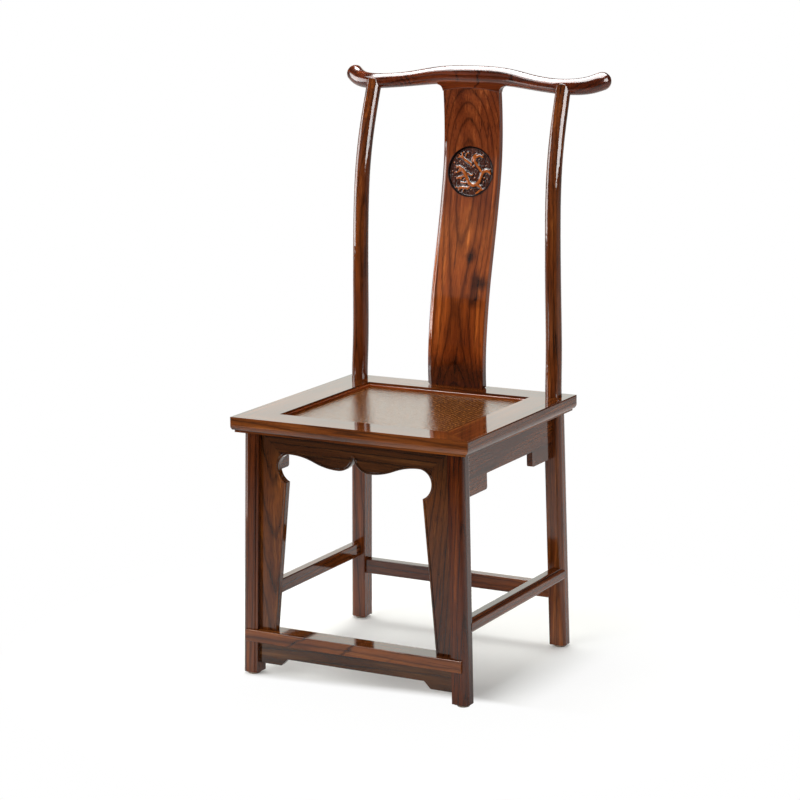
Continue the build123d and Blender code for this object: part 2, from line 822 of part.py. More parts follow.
def post_body(room):
    """The round post, a room larger all round, before it is shaped against the rail."""
    with BuildPart() as body:
        for share, point in zip(post_height_shares, post_points):
            along = post_path % post_path.param_at_point(point) if share > 0 else upward
            with BuildSketch(Plane(point, z_dir=along)):
                Circle(between(post_radius, post_top_radius, share) + room)
        loft()
    return body.part


lip_top = post_reach + post_lip_rise
with BuildPart() as post_arch:
    with BuildSketch(Plane.XZ):
        with Locations((post_top[0], lip_top - post_top_radius)):
            Circle(post_top_radius)
        with Locations((post_top[0], (frame_under + lip_top - post_top_radius) / 2)):
            Rectangle(4 * post_radius, lip_top - post_top_radius - frame_under)
    extrude(amount=overall_depth, both=True)

behind_rail = (rail_plan_low, rail_plan_low + 2 * rail_middle_radius)
beside_rail = (post_reach - post_lip_rise, lip_top + post_lip_rise)
post_back = block(about(post_top[0], 2 * post_radius), behind_rail, beside_rail)
with BuildPart() as rear_leg_right:
    add(post_body(0))
    add(post_arch.part, mode=Mode.INTERSECT)
    add(rail_body(0), mode=Mode.SUBTRACT)
    add(post_back, mode=Mode.SUBTRACT)
    add(rear_leg_solid)
    add(side_apron_tongues(fit), mode=Mode.SUBTRACT)
    add(rear_apron_tongues(fit), mode=Mode.SUBTRACT)
    add(side_stretcher_tenons(fit), mode=Mode.SUBTRACT)
    add(rear_stretcher_tenons(fit), mode=Mode.SUBTRACT)
    add(glide_nail(rear_leg_foot, 0), mode=Mode.SUBTRACT)
    add(post_tenon(0))
rear_leg_right.part.label = "rear_leg_right"
export_step(rear_leg_right.part, "parts/rear_leg_right.step")

with BuildPart() as rear_leg_left:
    mirror(rear_leg_right.part, about=Plane.YZ)
rear_leg_left.part.label = "rear_leg_left"
export_step(rear_leg_left.part, "parts/rear_leg_left.step")


# Splat with its round sunk field
def splat_point(share, sweep_share, behind):
    """A point of the splat's side outline, at a distance behind its front face."""
    height = between(seat_height, neck_low + neck_arch, share)
    return (splat_foot + splat_sweep * sweep_share + behind + seat_mid, height)


def splat_slab(first, last):
    """The splat's curve as a slab between two depths behind its front face."""
    near_points = [splat_point(*shares, first) for shares in zip(splat_height_shares, splat_sweep_shares)]
    far_points = [splat_point(*shares, last) for shares in zip(splat_height_shares, splat_sweep_shares)]
    with BuildPart() as slab:
        with BuildSketch(Plane.YZ):
            with BuildLine():
                near = Spline(*near_points)
                far = Spline(*far_points)
                Line(near @ 0, far @ 0)
                Line(near @ 1, far @ 1)
            make_face()
        extrude(amount=splat_width / 2, both=True)
    return slab.part


with BuildLine() as splat_line:
    splat_front = Spline(*[splat_point(*shares, 0) for shares in zip(splat_height_shares, splat_sweep_shares)])
roundel_share = 1 - roundel_drop / (neck_low + neck_arch - seat_height)
roundel_at = splat_front @ roundel_share
roundel_along = splat_front % roundel_share
roundel_normal = Vector(0, -roundel_along.Y, roundel_along.X)
roundel_plane = Plane((0, roundel_at.X, roundel_at.Y), x_dir=(1, 0, 0), z_dir=roundel_normal)


def roundel_skin(inner, outer, first, last):
    """A ring or disc of the splat's curve round the roundel's middle, between two depths."""
    with BuildPart() as skin:
        with BuildSketch(roundel_plane):
            Circle(outer)
            if inner > 0:
                Circle(inner, mode=Mode.SUBTRACT)
        extrude(amount=splat_thickness, both=True)
        add(splat_slab(first, last), mode=Mode.INTERSECT)
    return skin.part


def splat_foot_tenon(room):
    """The tenon at the foot of the splat, in the rear rail."""
    return block(
        about(0, splat_tenon_width / 2 + room),
        about(splat_foot + splat_thickness / 2, splat_tenon_thickness / 2 + room),
        (seat_height - splat_tenon_height - room, seat_height + edge_round),
    )


with BuildPart() as splat:
    add(splat_slab(0, splat_thickness))
    front_edges = splat.faces().sort_by(Axis.Y)[0].edges().sort_by(Axis.X)
    fillet([front_edges[0], front_edges[-1]], splat_edge)
    back_edges = splat.faces().sort_by(Axis.Y)[-1].edges().sort_by(Axis.X)
    fillet([back_edges[0], back_edges[-1]], edge_round)
    add(roundel_skin(0, roundel_radius, -splat_edge, roundel_depth), mode=Mode.SUBTRACT)
    add(roundel_skin(roundel_radius, roundel_radius + roundel_rim, -roundel_rim_rise, roundel_depth))
    add(neck.part, mode=Mode.SUBTRACT)
    add(splat_foot_tenon(0))
    add(splat_tongue(0))
splat.part.label = "splat"
export_step(splat.part, "parts/splat.step")


# Seat frame: four moulded rails, mitred at the corners, tongues of the long ones in the short ones
def frame_rail(outward, outer, inner, outer_half, inner_half):
    """One rail of the seat frame before its joints."""
    out = Vector(*outward)
    along = out.cross(upward)
    curve_level = seat_height - edge_curve_height
    with BuildPart() as rail:
        with BuildSketch(Plane((0, seat_mid, 0), x_dir=out, z_dir=along)):
            with BuildLine():
                Polyline((inner, frame_under), (inner, seat_height), (outer - edge_round, seat_height))
                RadiusArc((outer - edge_round, seat_height), (outer, seat_height - edge_round), edge_round)
                side = Line((outer, seat_height - edge_round), (outer, seat_height - edge_straight))
                TangentArc(side @ 1, (outer - edge_curve_inset, curve_level), tangent=side % 1)
                Polyline(
                    (outer - edge_curve_inset, curve_level),
                    (outer - lip_inset, curve_level),
                    (outer - lip_inset, frame_under),
                    (inner, frame_under),
                )
            make_face()
        extrude(amount=outer_half, both=True)
        with BuildSketch(Plane((0, seat_mid, frame_under), x_dir=along, z_dir=upward)):
            RectangleRounded(2 * outer_half, 2 * outer, edge_round)
            with BuildLine():
                Polyline(
                    (-outer_half, outer),
                    (-inner_half, inner),
                    (inner_half, inner),
                    (outer_half, outer),
                    close=True,
                )
            make_face(mode=Mode.INTERSECT)
        extrude(amount=frame_thickness, mode=Mode.INTERSECT)
    return rail.part


def frame_tongues(side, room):
    """The tongues of the front rail, side -1, or of the rear rail, side 1, as one bar through it."""
    low = opening_depth / 2 + frame_tongue_margin
    limits = (low - room, low + frame_tongue_width + room)
    return block(
        about(0, seat_width / 2 - frame_tongue_cover + room),
        limits if side > 0 else (-limits[1], -limits[0]),
        (frame_under + frame_tongue_rise - room, frame_under + frame_tongue_rise + frame_tongue_thickness + room),
    )


def panel_tongues(room):
    """The tongues all round the panel under the mat."""
    return block(
        about(0, opening_width / 2 + panel_tongue + room),
        about(0, opening_depth / 2 + panel_tongue + room),
        about((panel_top + panel_under) / 2, panel_tongue_thickness / 2 + room),
    )


def batten_tenons(side, room):
    """The tenons of the batten on one side, as one bar through it."""
    return block(
        about(side * batten_spacing / 2, batten_tenon_width / 2 + room),
        about(0, opening_depth / 2 + batten_tenon + room),
        about(panel_under - batten_thickness / 2, batten_tenon_thickness / 2 + room),
    )


short_rail = (seat_depth / 2, opening_depth / 2, seat_width / 2, opening_width / 2)
long_rail = (seat_width / 2, opening_width / 2, seat_depth / 2, opening_depth / 2)
with BuildPart() as seat_rail_front:
    add(frame_rail((0, -1, 0), *short_rail))
    add(frame_tongues(-1, 0))
    add(panel_tongues(fit), mode=Mode.SUBTRACT)
    add(batten_tenons(1, fit), mode=Mode.SUBTRACT)
    add(batten_tenons(-1, fit), mode=Mode.SUBTRACT)
    add(frame_apron_tongue(fit), mode=Mode.SUBTRACT)
    add(head_tenon(fit), mode=Mode.SUBTRACT)
    add(mirror(head_tenon(fit), about=Plane.YZ), mode=Mode.SUBTRACT)
seat_rail_front.part.label = "seat_rail_front"
export_step(seat_rail_front.part, "parts/seat_rail_front.step")

with BuildPart() as seat_rail_rear:
    add(frame_rail((0, 1, 0), *short_rail))
    add(frame_tongues(1, 0))
    add(panel_tongues(fit), mode=Mode.SUBTRACT)
    add(batten_tenons(1, fit), mode=Mode.SUBTRACT)
    add(batten_tenons(-1, fit), mode=Mode.SUBTRACT)
    add(rear_apron_tongues(fit), mode=Mode.SUBTRACT)
    add(splat_foot_tenon(fit), mode=Mode.SUBTRACT)
    add(post_body(fit), mode=Mode.SUBTRACT)
    add(mirror(post_body(fit), about=Plane.YZ), mode=Mode.SUBTRACT)
seat_rail_rear.part.label = "seat_rail_rear"
export_step(seat_rail_rear.part, "parts/seat_rail_rear.step")

with BuildPart() as seat_rail_right:
    add(frame_rail((1, 0, 0), *long_rail))
    add(frame_tongues(-1, fit), mode=Mode.SUBTRACT)
    add(frame_tongues(1, fit), mode=Mode.SUBTRACT)
    add(panel_tongues(fit), mode=Mode.SUBTRACT)
    add(side_apron_tongues(fit), mode=Mode.SUBTRACT)
    add(head_tenon(fit), mode=Mode.SUBTRACT)
    add(post_body(fit), mode=Mode.SUBTRACT)
seat_rail_right.part.label = "seat_rail_right"
export_step(seat_rail_right.part, "parts/seat_rail_right.step")

with BuildPart() as seat_rail_left:
    mirror(seat_rail_right.part, about=Plane.YZ)
seat_rail_left.part.label = "seat_rail_left"
export_step(seat_rail_left.part, "parts/seat_rail_left.step")


# Panel, battens, mat and the strips that hold it
opening = (about(0, opening_width / 2), about(0, opening_depth / 2))
with BuildPart() as seat_panel:
    add(block(*opening, (panel_under, panel_top)))
    add(panel_tongues(0))
seat_panel.part.label = "seat_panel"
export_step(seat_panel.part, "parts/seat_panel.step")

with BuildPart() as seat_batten_right:
    batten_limits = about(batten_spacing / 2, batten_width / 2)
    add(block(batten_limits, opening[1], (panel_under - batten_thickness, panel_under)))
    add(batten_tenons(1, 0))
seat_batten_right.part.label = "seat_batten_right"
export_step(seat_batten_right.part, "parts/seat_batten_right.step")

with BuildPart() as seat_batten_left:
    mirror(seat_batten_right.part, about=Plane.YZ)
seat_batten_left.part.label = "seat_batten_left"
export_step(seat_batten_left.part, "parts/seat_batten_left.step")

strip_low = mat_top - mat_press
inside_strips = (about(0, opening_width / 2 - strip_width), about(0, opening_depth / 2 - strip_width))
with BuildPart() as seat_cane_mat:
    add(block(*opening, (panel_top, strip_low)))
    add(block(*inside_strips, (panel_top, mat_top)))
seat_cane_mat.part.label = "seat_cane_mat"
export_step(seat_cane_mat.part, "parts/seat_cane_mat.step")


def mat_strip(outward, reach, half):
    """One strip on the mat's edge, rounded on its inner top edge and mitred at both ends."""
    out = Vector(*outward)
    with BuildPart() as strip:
        with BuildSketch(Plane((0, seat_mid, strip_low), x_dir=out.cross(upward), z_dir=upward)):
            with BuildLine():
                Polyline(
                    (-half, reach),
                    (half, reach),
                    (half - strip_width, reach - strip_width),
                    (strip_width - half, reach - strip_width),
                    close=True,
                )
            make_face()
        extrude(amount=strip_height)
        top_edges = strip.faces().sort_by(Axis.Z)[-1].edges()
        fillet(top_edges.sort_by(Axis((0, 0, 0), out))[0], strip_round)
    return strip.part


with BuildPart() as mat_strip_front:
    add(mat_strip((0, -1, 0), opening_depth / 2, opening_width / 2))
mat_strip_front.part.label = "mat_strip_front"
export_step(mat_strip_front.part, "parts/mat_strip_front.step")

with BuildPart() as mat_strip_rear:
    add(mat_strip((0, 1, 0), opening_depth / 2, opening_width / 2))
mat_strip_rear.part.label = "mat_strip_rear"
export_step(mat_strip_rear.part, "parts/mat_strip_rear.step")

with BuildPart() as mat_strip_right:
    add(mat_strip((1, 0, 0), opening_width / 2, opening_depth / 2))
mat_strip_right.part.label = "mat_strip_right"
export_step(mat_strip_right.part, "parts/mat_strip_right.step")

with BuildPart() as mat_strip_left:
    add(mat_strip((-1, 0, 0), opening_width / 2, opening_depth / 2))
mat_strip_left.part.label = "mat_strip_left"
export_step(mat_strip_left.part, "parts/mat_strip_left.step")
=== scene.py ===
import math
import random

import bpy
from bpy.props import FloatProperty, FloatVectorProperty, PointerProperty
from mathutils import Matrix, Vector


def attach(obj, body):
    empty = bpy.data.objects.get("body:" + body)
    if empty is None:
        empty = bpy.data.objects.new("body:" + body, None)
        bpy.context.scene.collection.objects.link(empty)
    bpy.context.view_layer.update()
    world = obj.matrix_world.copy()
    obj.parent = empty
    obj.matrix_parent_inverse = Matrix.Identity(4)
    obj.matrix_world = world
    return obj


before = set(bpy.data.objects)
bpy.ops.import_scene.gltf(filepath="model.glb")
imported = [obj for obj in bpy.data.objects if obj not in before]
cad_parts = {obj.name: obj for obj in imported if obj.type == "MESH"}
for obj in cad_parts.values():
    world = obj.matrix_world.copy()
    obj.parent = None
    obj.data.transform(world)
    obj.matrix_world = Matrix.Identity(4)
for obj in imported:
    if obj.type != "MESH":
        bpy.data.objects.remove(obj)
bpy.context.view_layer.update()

bl_info = {
    "name": "Yoke-back side chair finishes",
    "version": (1, 0, 0),
    "blender": (4, 5, 0),
    "location": "3D View > Sidebar > Chair",
    "description": "Lacquered wood, woven cane, the carved roundel and a plain studio for a yoke-back side chair",
    "category": "Object",
}

# Which way a piece's grain runs, and how a log turns to lie along it
UPRIGHT = "Z"
ACROSS = "X"
FORE_AND_AFT = "Y"
GRAIN_TURN = {UPRIGHT: (0, 0, 0), ACROSS: (0, math.pi / 2, 0), FORE_AND_AFT: (math.pi / 2, 0, 0)}

# How much farther forward all logs lie than their points below, in metres
LOGS_FORWARD = 0.003

# Each piece of wood: which way its grain runs, a point in the middle of its log in metres, how far the log
# leans in radians, and its tone as shares of the settings' red, green and blue
WOOD_CUTS = {
    "crest_rail": (ACROSS, (0.02, 0.262, 1.062), (0.01, -0.004), (0.58, 0.46, 0.385)),
    "rear_leg_right": (UPRIGHT, (0.268, 0.208, 0.7), (0.02, 0.015), (0.74, 0.88, 0.95)),
    "rear_leg_left": (UPRIGHT, (-0.262, 0.215, 0.6), (0.015, -0.02), (0.72, 0.8, 0.78)),
    "splat": (UPRIGHT, (-0.004, 0.288, 0.99), (-0.178, 0.004), (0.95, 0.9, 0.88)),
    "front_leg_right": (UPRIGHT, (0.262, -0.291, 0.2), (0.02, 0.012), (0.36, 0.31, 0.16)),
    "front_leg_left": (UPRIGHT, (-0.188, -0.285, 0.3), (-0.012, 0.03), (0.46, 0.48, 0.36)),
    "seat_rail_front": (ACROSS, (0.05, -0.33, 0.452), (0.02, 0.01), (0.8, 1.02, 0.92)),
    "seat_rail_rear": (ACROSS, (-0.1, 0.12, 0.44), (0.01, 0.02), (0.7, 0.8, 0.78)),
    "seat_rail_right": (FORE_AND_AFT, (0.27, 0.0, 0.455), (0.02, 0.015), (0.66, 0.8, 0.77)),
    "seat_rail_left": (FORE_AND_AFT, (-0.26, 0.0, 0.449), (0.015, -0.03), (0.64, 0.78, 0.76)),
    # The front apron's top board is toned darker, which paints the shade under the seat frame
    "front_apron_top": (ACROSS, (0.15, -0.21, 0.42), (0.01, 0.02), (0.24, 0.35, 0.46)),
    "front_apron_right": (UPRIGHT, (0.14, -0.20, 0.23), (0.05, 0.04), (0.37, 0.46, 0.46)),
    "front_apron_left": (UPRIGHT, (-0.17, -0.19, 0.33), (0.06, -0.02), (0.57, 0.73, 0.62)),
    "side_apron_right": (FORE_AND_AFT, (0.21, -0.1, 0.42), (0.02, 0.03), (0.55, 0.62, 0.62)),
    "side_apron_left": (FORE_AND_AFT, (-0.18, -0.1, 0.43), (0.03, 0.02), (0.55, 0.62, 0.62)),
    "rear_apron": (ACROSS, (0.1, 0.11, 0.42), (0.02, 0.02), (0.55, 0.62, 0.62)),
    "side_stretcher_right": (FORE_AND_AFT, (0.20, 0.0, 0.17), (0.02, 0.02), (0.66, 0.74, 0.74)),
    "side_stretcher_left": (FORE_AND_AFT, (-0.25, 0.1, 0.18), (0.03, 0.01), (0.62, 0.7, 0.7)),
    "rear_stretcher": (ACROSS, (0.1, 0.20, 0.15), (0.02, 0.01), (0.66, 0.74, 0.74)),
    "footrest": (ACROSS, (0.1, -0.22, 0.05), (0.01, 0.02), (0.86, 1.12, 1.06)),
    "footrest_apron": (ACROSS, (0.2, -0.2, 0.02), (0.02, 0.01), (0.34, 0.53, 0.52)),
    "mat_strip_front": (ACROSS, (0.13, -0.26, 0.52), (0.02, 0.01), (0.7, 0.76, 0.76)),
    # The rear and left mat strips are toned lighter, which paints in the light on their inner faces
    "mat_strip_rear": (ACROSS, (0.1, 0.19, 0.53), (0.02, 0.02), (1.3, 1.3, 1.2)),
    "mat_strip_right": (FORE_AND_AFT, (0.21, 0.0, 0.52), (0.01, 0.02), (0.7, 0.76, 0.76)),
    "mat_strip_left": (FORE_AND_AFT, (-0.13, 0.0, 0.53), (0.02, 0.03), (1.5, 1.5, 1.4)),
    "seat_panel": (FORE_AND_AFT, (0.07, 0.0, 0.53), (0.02, 0.02), (0.9, 0.95, 0.95)),
    "seat_batten_right": (FORE_AND_AFT, (0.11, 0.0, 0.50), (0.02, 0.01), (0.9, 0.95, 0.95)),
    "seat_batten_left": (FORE_AND_AFT, (-0.04, 0.0, 0.50), (0.01, 0.03), (0.9, 0.95, 0.95)),
}

# The carved roundel: its middle on the splat, which way it faces, its radius, how deep its dark field and ring of
# painted shade reach, and the shares of the radius at which that ring of painted shade at the field's edge ends
# outside and the sunk field begins inside
MILLIMETRE = 0.001
ROUNDEL_MIDDLE = Vector((0, 0.2316, 0.918))
ROUNDEL_FACING = Vector((0, -0.98713, 0.15994))
ROUNDEL_RADIUS = 0.048
ROUNDEL_DEPTH = 0.006
FIELD_EDGE_SHADE_SHARE = 1.04
FIELD_SHARE = 0.96

# What is carved in it, drawn in millimetres from its middle: one coiled dragon, as such roundels have. A stroke's
# points are (across, up, half width), and every stroke is carved fuller than it is drawn.
STROKE_FULLNESS = 1.25
DRAWN_STROKES = {
    "body": [
        (-6, -15, 3.2), (-4, -21, 3.8), (2, -25.5, 4.0), (10, -26, 4.0), (17, -22, 3.8), (21.5, -15, 3.5),
        (23.5, -7, 3.4), (26.5, 0, 3.5), (33, 4, 3.6), (40, 1.5, 3.2), (43.5, -4, 2.0),
    ],
    "tail": [(39, 3, 2.0), (43, 7, 1.2)],
    "neck": [(-21, 6, 3.2), (-16, 1, 4.2), (-11.5, -5, 4.4), (-8.5, -11, 3.8), (-6, -16, 3.4)],
    "upper_limb": [
        (23, 1, 2.6), (16.5, 9.5, 3.0), (10.5, 16, 3.0), (6.5, 21.5, 3.0), (7, 26.5, 2.8), (12, 31, 2.6),
        (19.5, 32.5, 2.4), (25.5, 28, 1.6),
    ],
    "upper_ridge": [(2, 19, 1.6), (2, 26, 2.3), (7, 33, 2.3), (12, 36, 1.3)],
    "left_limb": [
        (1, 14.5, 2.4), (-5, 17.5, 2.8), (-12, 21, 2.8), (-17, 25, 2.6), (-22.5, 28.5, 2.4), (-29, 28, 1.8),
        (-33, 25, 1.0),
    ],
    "left_claw_a": [(-18, 26, 1.8), (-22, 33, 1.9), (-19, 37.5, 1.7), (-14, 37, 1.2)],
    "left_claw_b": [(-13, 28, 1.6), (-13, 34, 1.7), (-8, 37.5, 1.9), (-5, 34, 1.2)],
    "left_claw_c": [(-24, 29, 1.6), (-29, 33, 1.4), (-31.5, 32.5, 0.9)],
    "brow": [(-21, 6, 2.2), (-26, 10, 2.2), (-31, 8, 1.6)],
    "snout": [(-20, 3, 2.4), (-27, 0, 2.5), (-31, -4, 1.8)],
    "jaw": [(-13, -8, 2.4), (-19, -11, 2.3), (-27, -13, 2.2)],
    "mane": [(-7, -2, 1.8), (0, -8, 2.0), (5, -6, 1.6), (4, -1, 1.0)],
    "beard_a": [(-8, -22, 1.7), (-15, -23, 1.9), (-22, -21, 1.4)],
    "beard_b": [(-9, -26.5, 1.2), (-16, -27.3, 1.3), (-21, -26, 0.9)],
    "low_limb": [(0, -30, 2.2), (-7, -32.5, 2.5), (-14, -31, 2.7), (-22, -32, 2.4), (-27, -33.5, 1.5)],
    "low_claw_a": [(-19, -33, 1.9), (-24, -36, 1.8), (-24, -39, 1.2)],
    "low_claw_b": [(-12, -33, 1.7), (-15, -38, 1.6), (-13, -42, 1.0)],
    "foot": [(15, -25, 3.0), (22, -28, 2.9), (25, -31, 2.0)],
    "foot_sole": [(26, -31, 1.8), (23, -35.5, 2.5), (18.5, -39, 2.4), (13, -42.5, 1.5)],
    "foot_claw": [(24, -35, 1.6), (30, -34, 1.4), (33, -30, 0.9)],
}
ROUNDEL_STROKES = {
    name: [(across, rise, round(half_width * STROKE_FULLNESS, 1)) for across, rise, half_width in points]
    for name, points in DRAWN_STROKES.items()
}

# Round bumps as (across, up, radius)
ROUNDEL_DOTS = [
    (4.9, 10.7, 3.2), (-0.5, 12.5, 2.9), (-31, 7.5, 3.4), (-24.5, 3.5, 3.6), (-28.5, -13.5, 3.9),
    (-20.5, -14, 3.1), (-14, -16.5, 3.1), (-29.5, -31.5, 3.2), (-5, -34, 2.8), (-6, -14.5, 4.6),
    (-17, 0, 4.4), (-34, -3, 2.6),
]

# Low clouds scattered between the strokes, in millimetres: how far out they reach, how small and large they
# are, the share of their radius that stays clear of a stroke, and the least gap from one to the next
CLOUD_COUNT = 34
CLOUD_TRIES = 6000
CLOUD_SEED = 7
CLOUD_REACH = 42.5
CLOUD_RADII = (1.5, 2.5)
CLOUD_ROOM_SHARE = 0.75
CLOUD_GAP = 1.0

# The raised rim of the sunk field: its radius and half width in millimetres
ROUNDEL_RIM = (46.5, 1.0)

# The figure inside a log, whose third direction runs along the grain: changes in a metre, how far the streaks
# are drawn out, and how far in metres the rings sway and the knots and arcs are shaken
SLOW_FIGURE = (9, 9, 1.6)
QUICK_FIGURE = (60, 60, 30)
STREAK_DRAW = (1, 1, 0.028)
RING_SWAY = (0.016, 0.016, 0)
KNOT_SHAKE = (0.025, 0.025, 0.05)
ARC_SHAKE = (0.020, 0.020, 0.020)
MID_NOISE = (0.5, 0.5, 0.5)

# The splat's tone by height in metres: darker at its foot, and lighter, greener and bluer about its middle, which
# is a painted sheen over the wood; and its knots as a point and a reach
SPLAT_HEIGHT_TONE_AND_SHEEN = [
    (0.535, (0.38, 0.38, 0.46)), (0.565, (1.15, 1.15, 1.0)), (0.61, (1.5, 1.6, 1.2)), (0.72, (1.9, 2.2, 1.8)),
    (0.80, (2.0, 2.6, 2.6)), (0.86, (1.1, 1.15, 1.15)), (1.0, (0.9, 0.95, 1.3)),
]
SPLAT_KNOTS = [
    ((0.016, 0.1946, 0.756), 0.0105),
    ((0.041, 0.1824, 0.707), 0.0155),
    ((0.035, 0.175, 0.676), 0.012),
]

# What each kind of mark leaves of the red, green and blue, the ring at the sunk field's edge and the line at the
# bead's foot being painted shade, and how soft a knot's edge is
KNOT_STAIN = (0.14, 0.15, 0.30)
FIELD_EDGE_SHADE = (0.06, 0.05, 0.10)
FIELD_STAIN = (0.28, 0.32, 0.75)
BEAD_FOOT_SHADE = (0.12, 0.10, 0.10)
ARC_STAIN = (0.24, 0.22, 0.25)
KNOT_SOFTNESS = 0.75
ARC_SOFTNESS = 0.25

# Over which width the splat's left edge turns the lacquer away, how far, and between which heights that
# fades out; and how uneven the lacquer of the sunk field is
SPLAT_EDGE = (-0.0605, -0.0530)
SPLAT_EDGE_RISE = 0.0026
SPLAT_EDGE_FADE = (0.92, 1.03)
SPLAT_FIELD_RISE = 0.0013

# The pieces whose lacquer flows evenly round them, and over which radius
ROUND_PIECES = ("crest_rail", "rear_leg_left", "rear_leg_right")
ROUND_REACH = 0.0025

# How many times as rough the crest rail's lacquer is
CREST_DULLNESS = 2

# Nested arcs of the grain: a point in their middle, how far they reach, their centre, pitch and half width,
# and how much they are drawn out upwards
GRAIN_ARCS = {
    "crest_rail": [
        ((-0.137, 0.222, 1.088), 0.020, (-0.180, 0.222, 1.088), 0.0110, 0.0024),
        ((0.000, 0.219, 1.104), 0.032, (-0.070, 0.219, 1.103), 0.0450, 0.0030),
        ((0.088, 0.219, 1.100), 0.014, (0.150, 0.219, 1.104), 0.0310, 0.0040),
    ],
    "footrest": [((-0.09, -0.27, 0.08), 0.16, (-0.322, -0.27, 0.16), 0.0905, 0.0036)],
}
ARC_STRETCH = (1, 1, 2.2)

# The front apron's face, the heights between which its side boards take the top board's darker tone, which paints
# the shade under the seat frame, and how far before the face the bead's foot and crown lie, where a line of
# painted shade runs
APRON_HEAD = Vector((0, -0.24625, 0.472))
APRON_FACING = Vector((0, -1, 0.01627)).normalized()
UNDER_SEAT_SHADE_HEIGHTS = (0.38, 0.445)
BEAD_FOOT = (0.00004, 0.0002)
BEAD_CROWN = (0.0014, 0.0008)

GLIDES = ["glide_front_right", "glide_front_left", "glide_rear_right", "glide_rear_left"]

# The lamps: place, the point each faces, width, depth and radiance. A card is only mirrored in the lacquer,
# and a lamp only gives light.
CARD = {"lighting": False}
LAMP = {"mirrored": False}
LAMPS = {
    "overhead_lamp": ((-0.7, 0.5, 3.3), (0, 0, 0.4), 2.4, 2.0, 5.2, LAMP),
    "overhead_card": ((-0.1, 0.6, 3.2), (-0.1, 0.6, 0), 3.0, 2.8, 19.0, CARD),
    "back_card": ((-2.3, 4.0, 1.2), (0, 0, 0.6), 4.2, 2.4, 1.4, {"colour": (0.95, 1.0, 0.93)}),
    "right_lamp": ((2.9, 1.0, 1.5), (0, 0, 0.6), 0.5, 2.6, 1.6, LAMP),
    "right_card": ((2.6, -0.3, 1.85), (0, -0.3, 1.85), 2.1, 1.5, 14.0, CARD),
    "left_card": ((-1.66, -1.31, 0.02), (-1.621, -1.279, 1.02), 0.7, 2.1, 3.5, CARD),
    "left_side_card": ((-2.36, -0.42, 1.1), (0, 0, 1.1), 1.56, 1.2, 8.0, CARD),
    "left_high_card": ((-1.75, -0.82, 3.2), (0, 0.2, 0.9), 1.4, 1.4, 8.0, CARD),
    "front_card": ((-1.9, -3.3, 2.1), (0, 0.2, 0.7), 2.4, 1.4, 0.3, CARD),
    "front_fill": ((-1.2, -4.0, 2.4), (0, 0, 0.6), 3.0, 2.4, 4.5, LAMP),
}

# The studio floor: its size, its paper as it lights the chair and as the camera sees it, brighter than paper can
# be, and where the camera sees it glow white in place of the chair's shadow: before the chair past a slanting
# line, and beside it, with how white it glows past there
FLOOR_RADIUS = 30
ROUND_SIDES = 96
PAPER_LIT = (0.90, 0.90, 0.885, 1)
PAPER_SEEN = (1.02, 1.03, 0.99, 1)
SHADOW_SLANT = -0.13
SHADOW_AHEAD = (-0.212, -0.252)
WHITE_AHEAD = 0.97
SHADOW_BESIDE = (0.20, 0.34)
WHITE_BESIDE = 0.85
AIR_STRENGTH = 0.42
MIRRORED_AIR_STRENGTH = 0.06
WHITE = (1, 1, 1, 1)
NEAR_BLACK = (0.02, 0.02, 0.02, 1)

# The camera's sensor width in millimetres, and how far it sees in metres
SENSOR_WIDTH = 36
FAR_CLIP = 100


class WoodSettings(bpy.types.PropertyGroup):
    """Colours and figure of the lacquered wood."""

    pale: FloatVectorProperty(
        name="Pale grain",
        description="Colour of the lightest wood between the rings",
        subtype="COLOR",
        size=3,
        default=(0.34, 0.080, 0.0150),
    )
    body: FloatVectorProperty(
        name="Body colour",
        description="Colour of most of the wood",
        subtype="COLOR",
        size=3,
        default=(0.180, 0.0360, 0.0068),
    )
    dark: FloatVectorProperty(
        name="Dark grain",
        description="Colour of the dark rings and streaks",
        subtype="COLOR",
        size=3,
        default=(0.036, 0.0085, 0.0030),
    )
    ring_width: FloatProperty(
        name="Ring width",
        description="Distance from one growth ring to the next",
        default=0.0075,
        min=0.001,
        subtype="DISTANCE",
        unit="LENGTH",
    )
    gloss_roughness: FloatProperty(
        name="Lacquer roughness",
        description="Roughness of the lacquer over the wood",
        default=0.07,
        min=0,
        max=1,
        subtype="FACTOR",
    )


class CaneSettings(bpy.types.PropertyGroup):
    """Colours and pitch of the woven mat."""

    strand: FloatProperty(
        name="Strand width",
        description="Width of one woven strand",
        default=0.0028,
        min=0.0005,
        subtype="DISTANCE",
        unit="LENGTH",
    )
    pale: FloatVectorProperty(
        name="Pale strand",
        description="Colour of the strands that catch the light",
        subtype="COLOR",
        size=3,
        default=(0.25, 0.092, 0.019),
    )
    dark: FloatVectorProperty(
        name="Dark strand",
        description="Colour of the strands that run the other way",
        subtype="COLOR",
        size=3,
        default=(0.075, 0.024, 0.0065),
    )


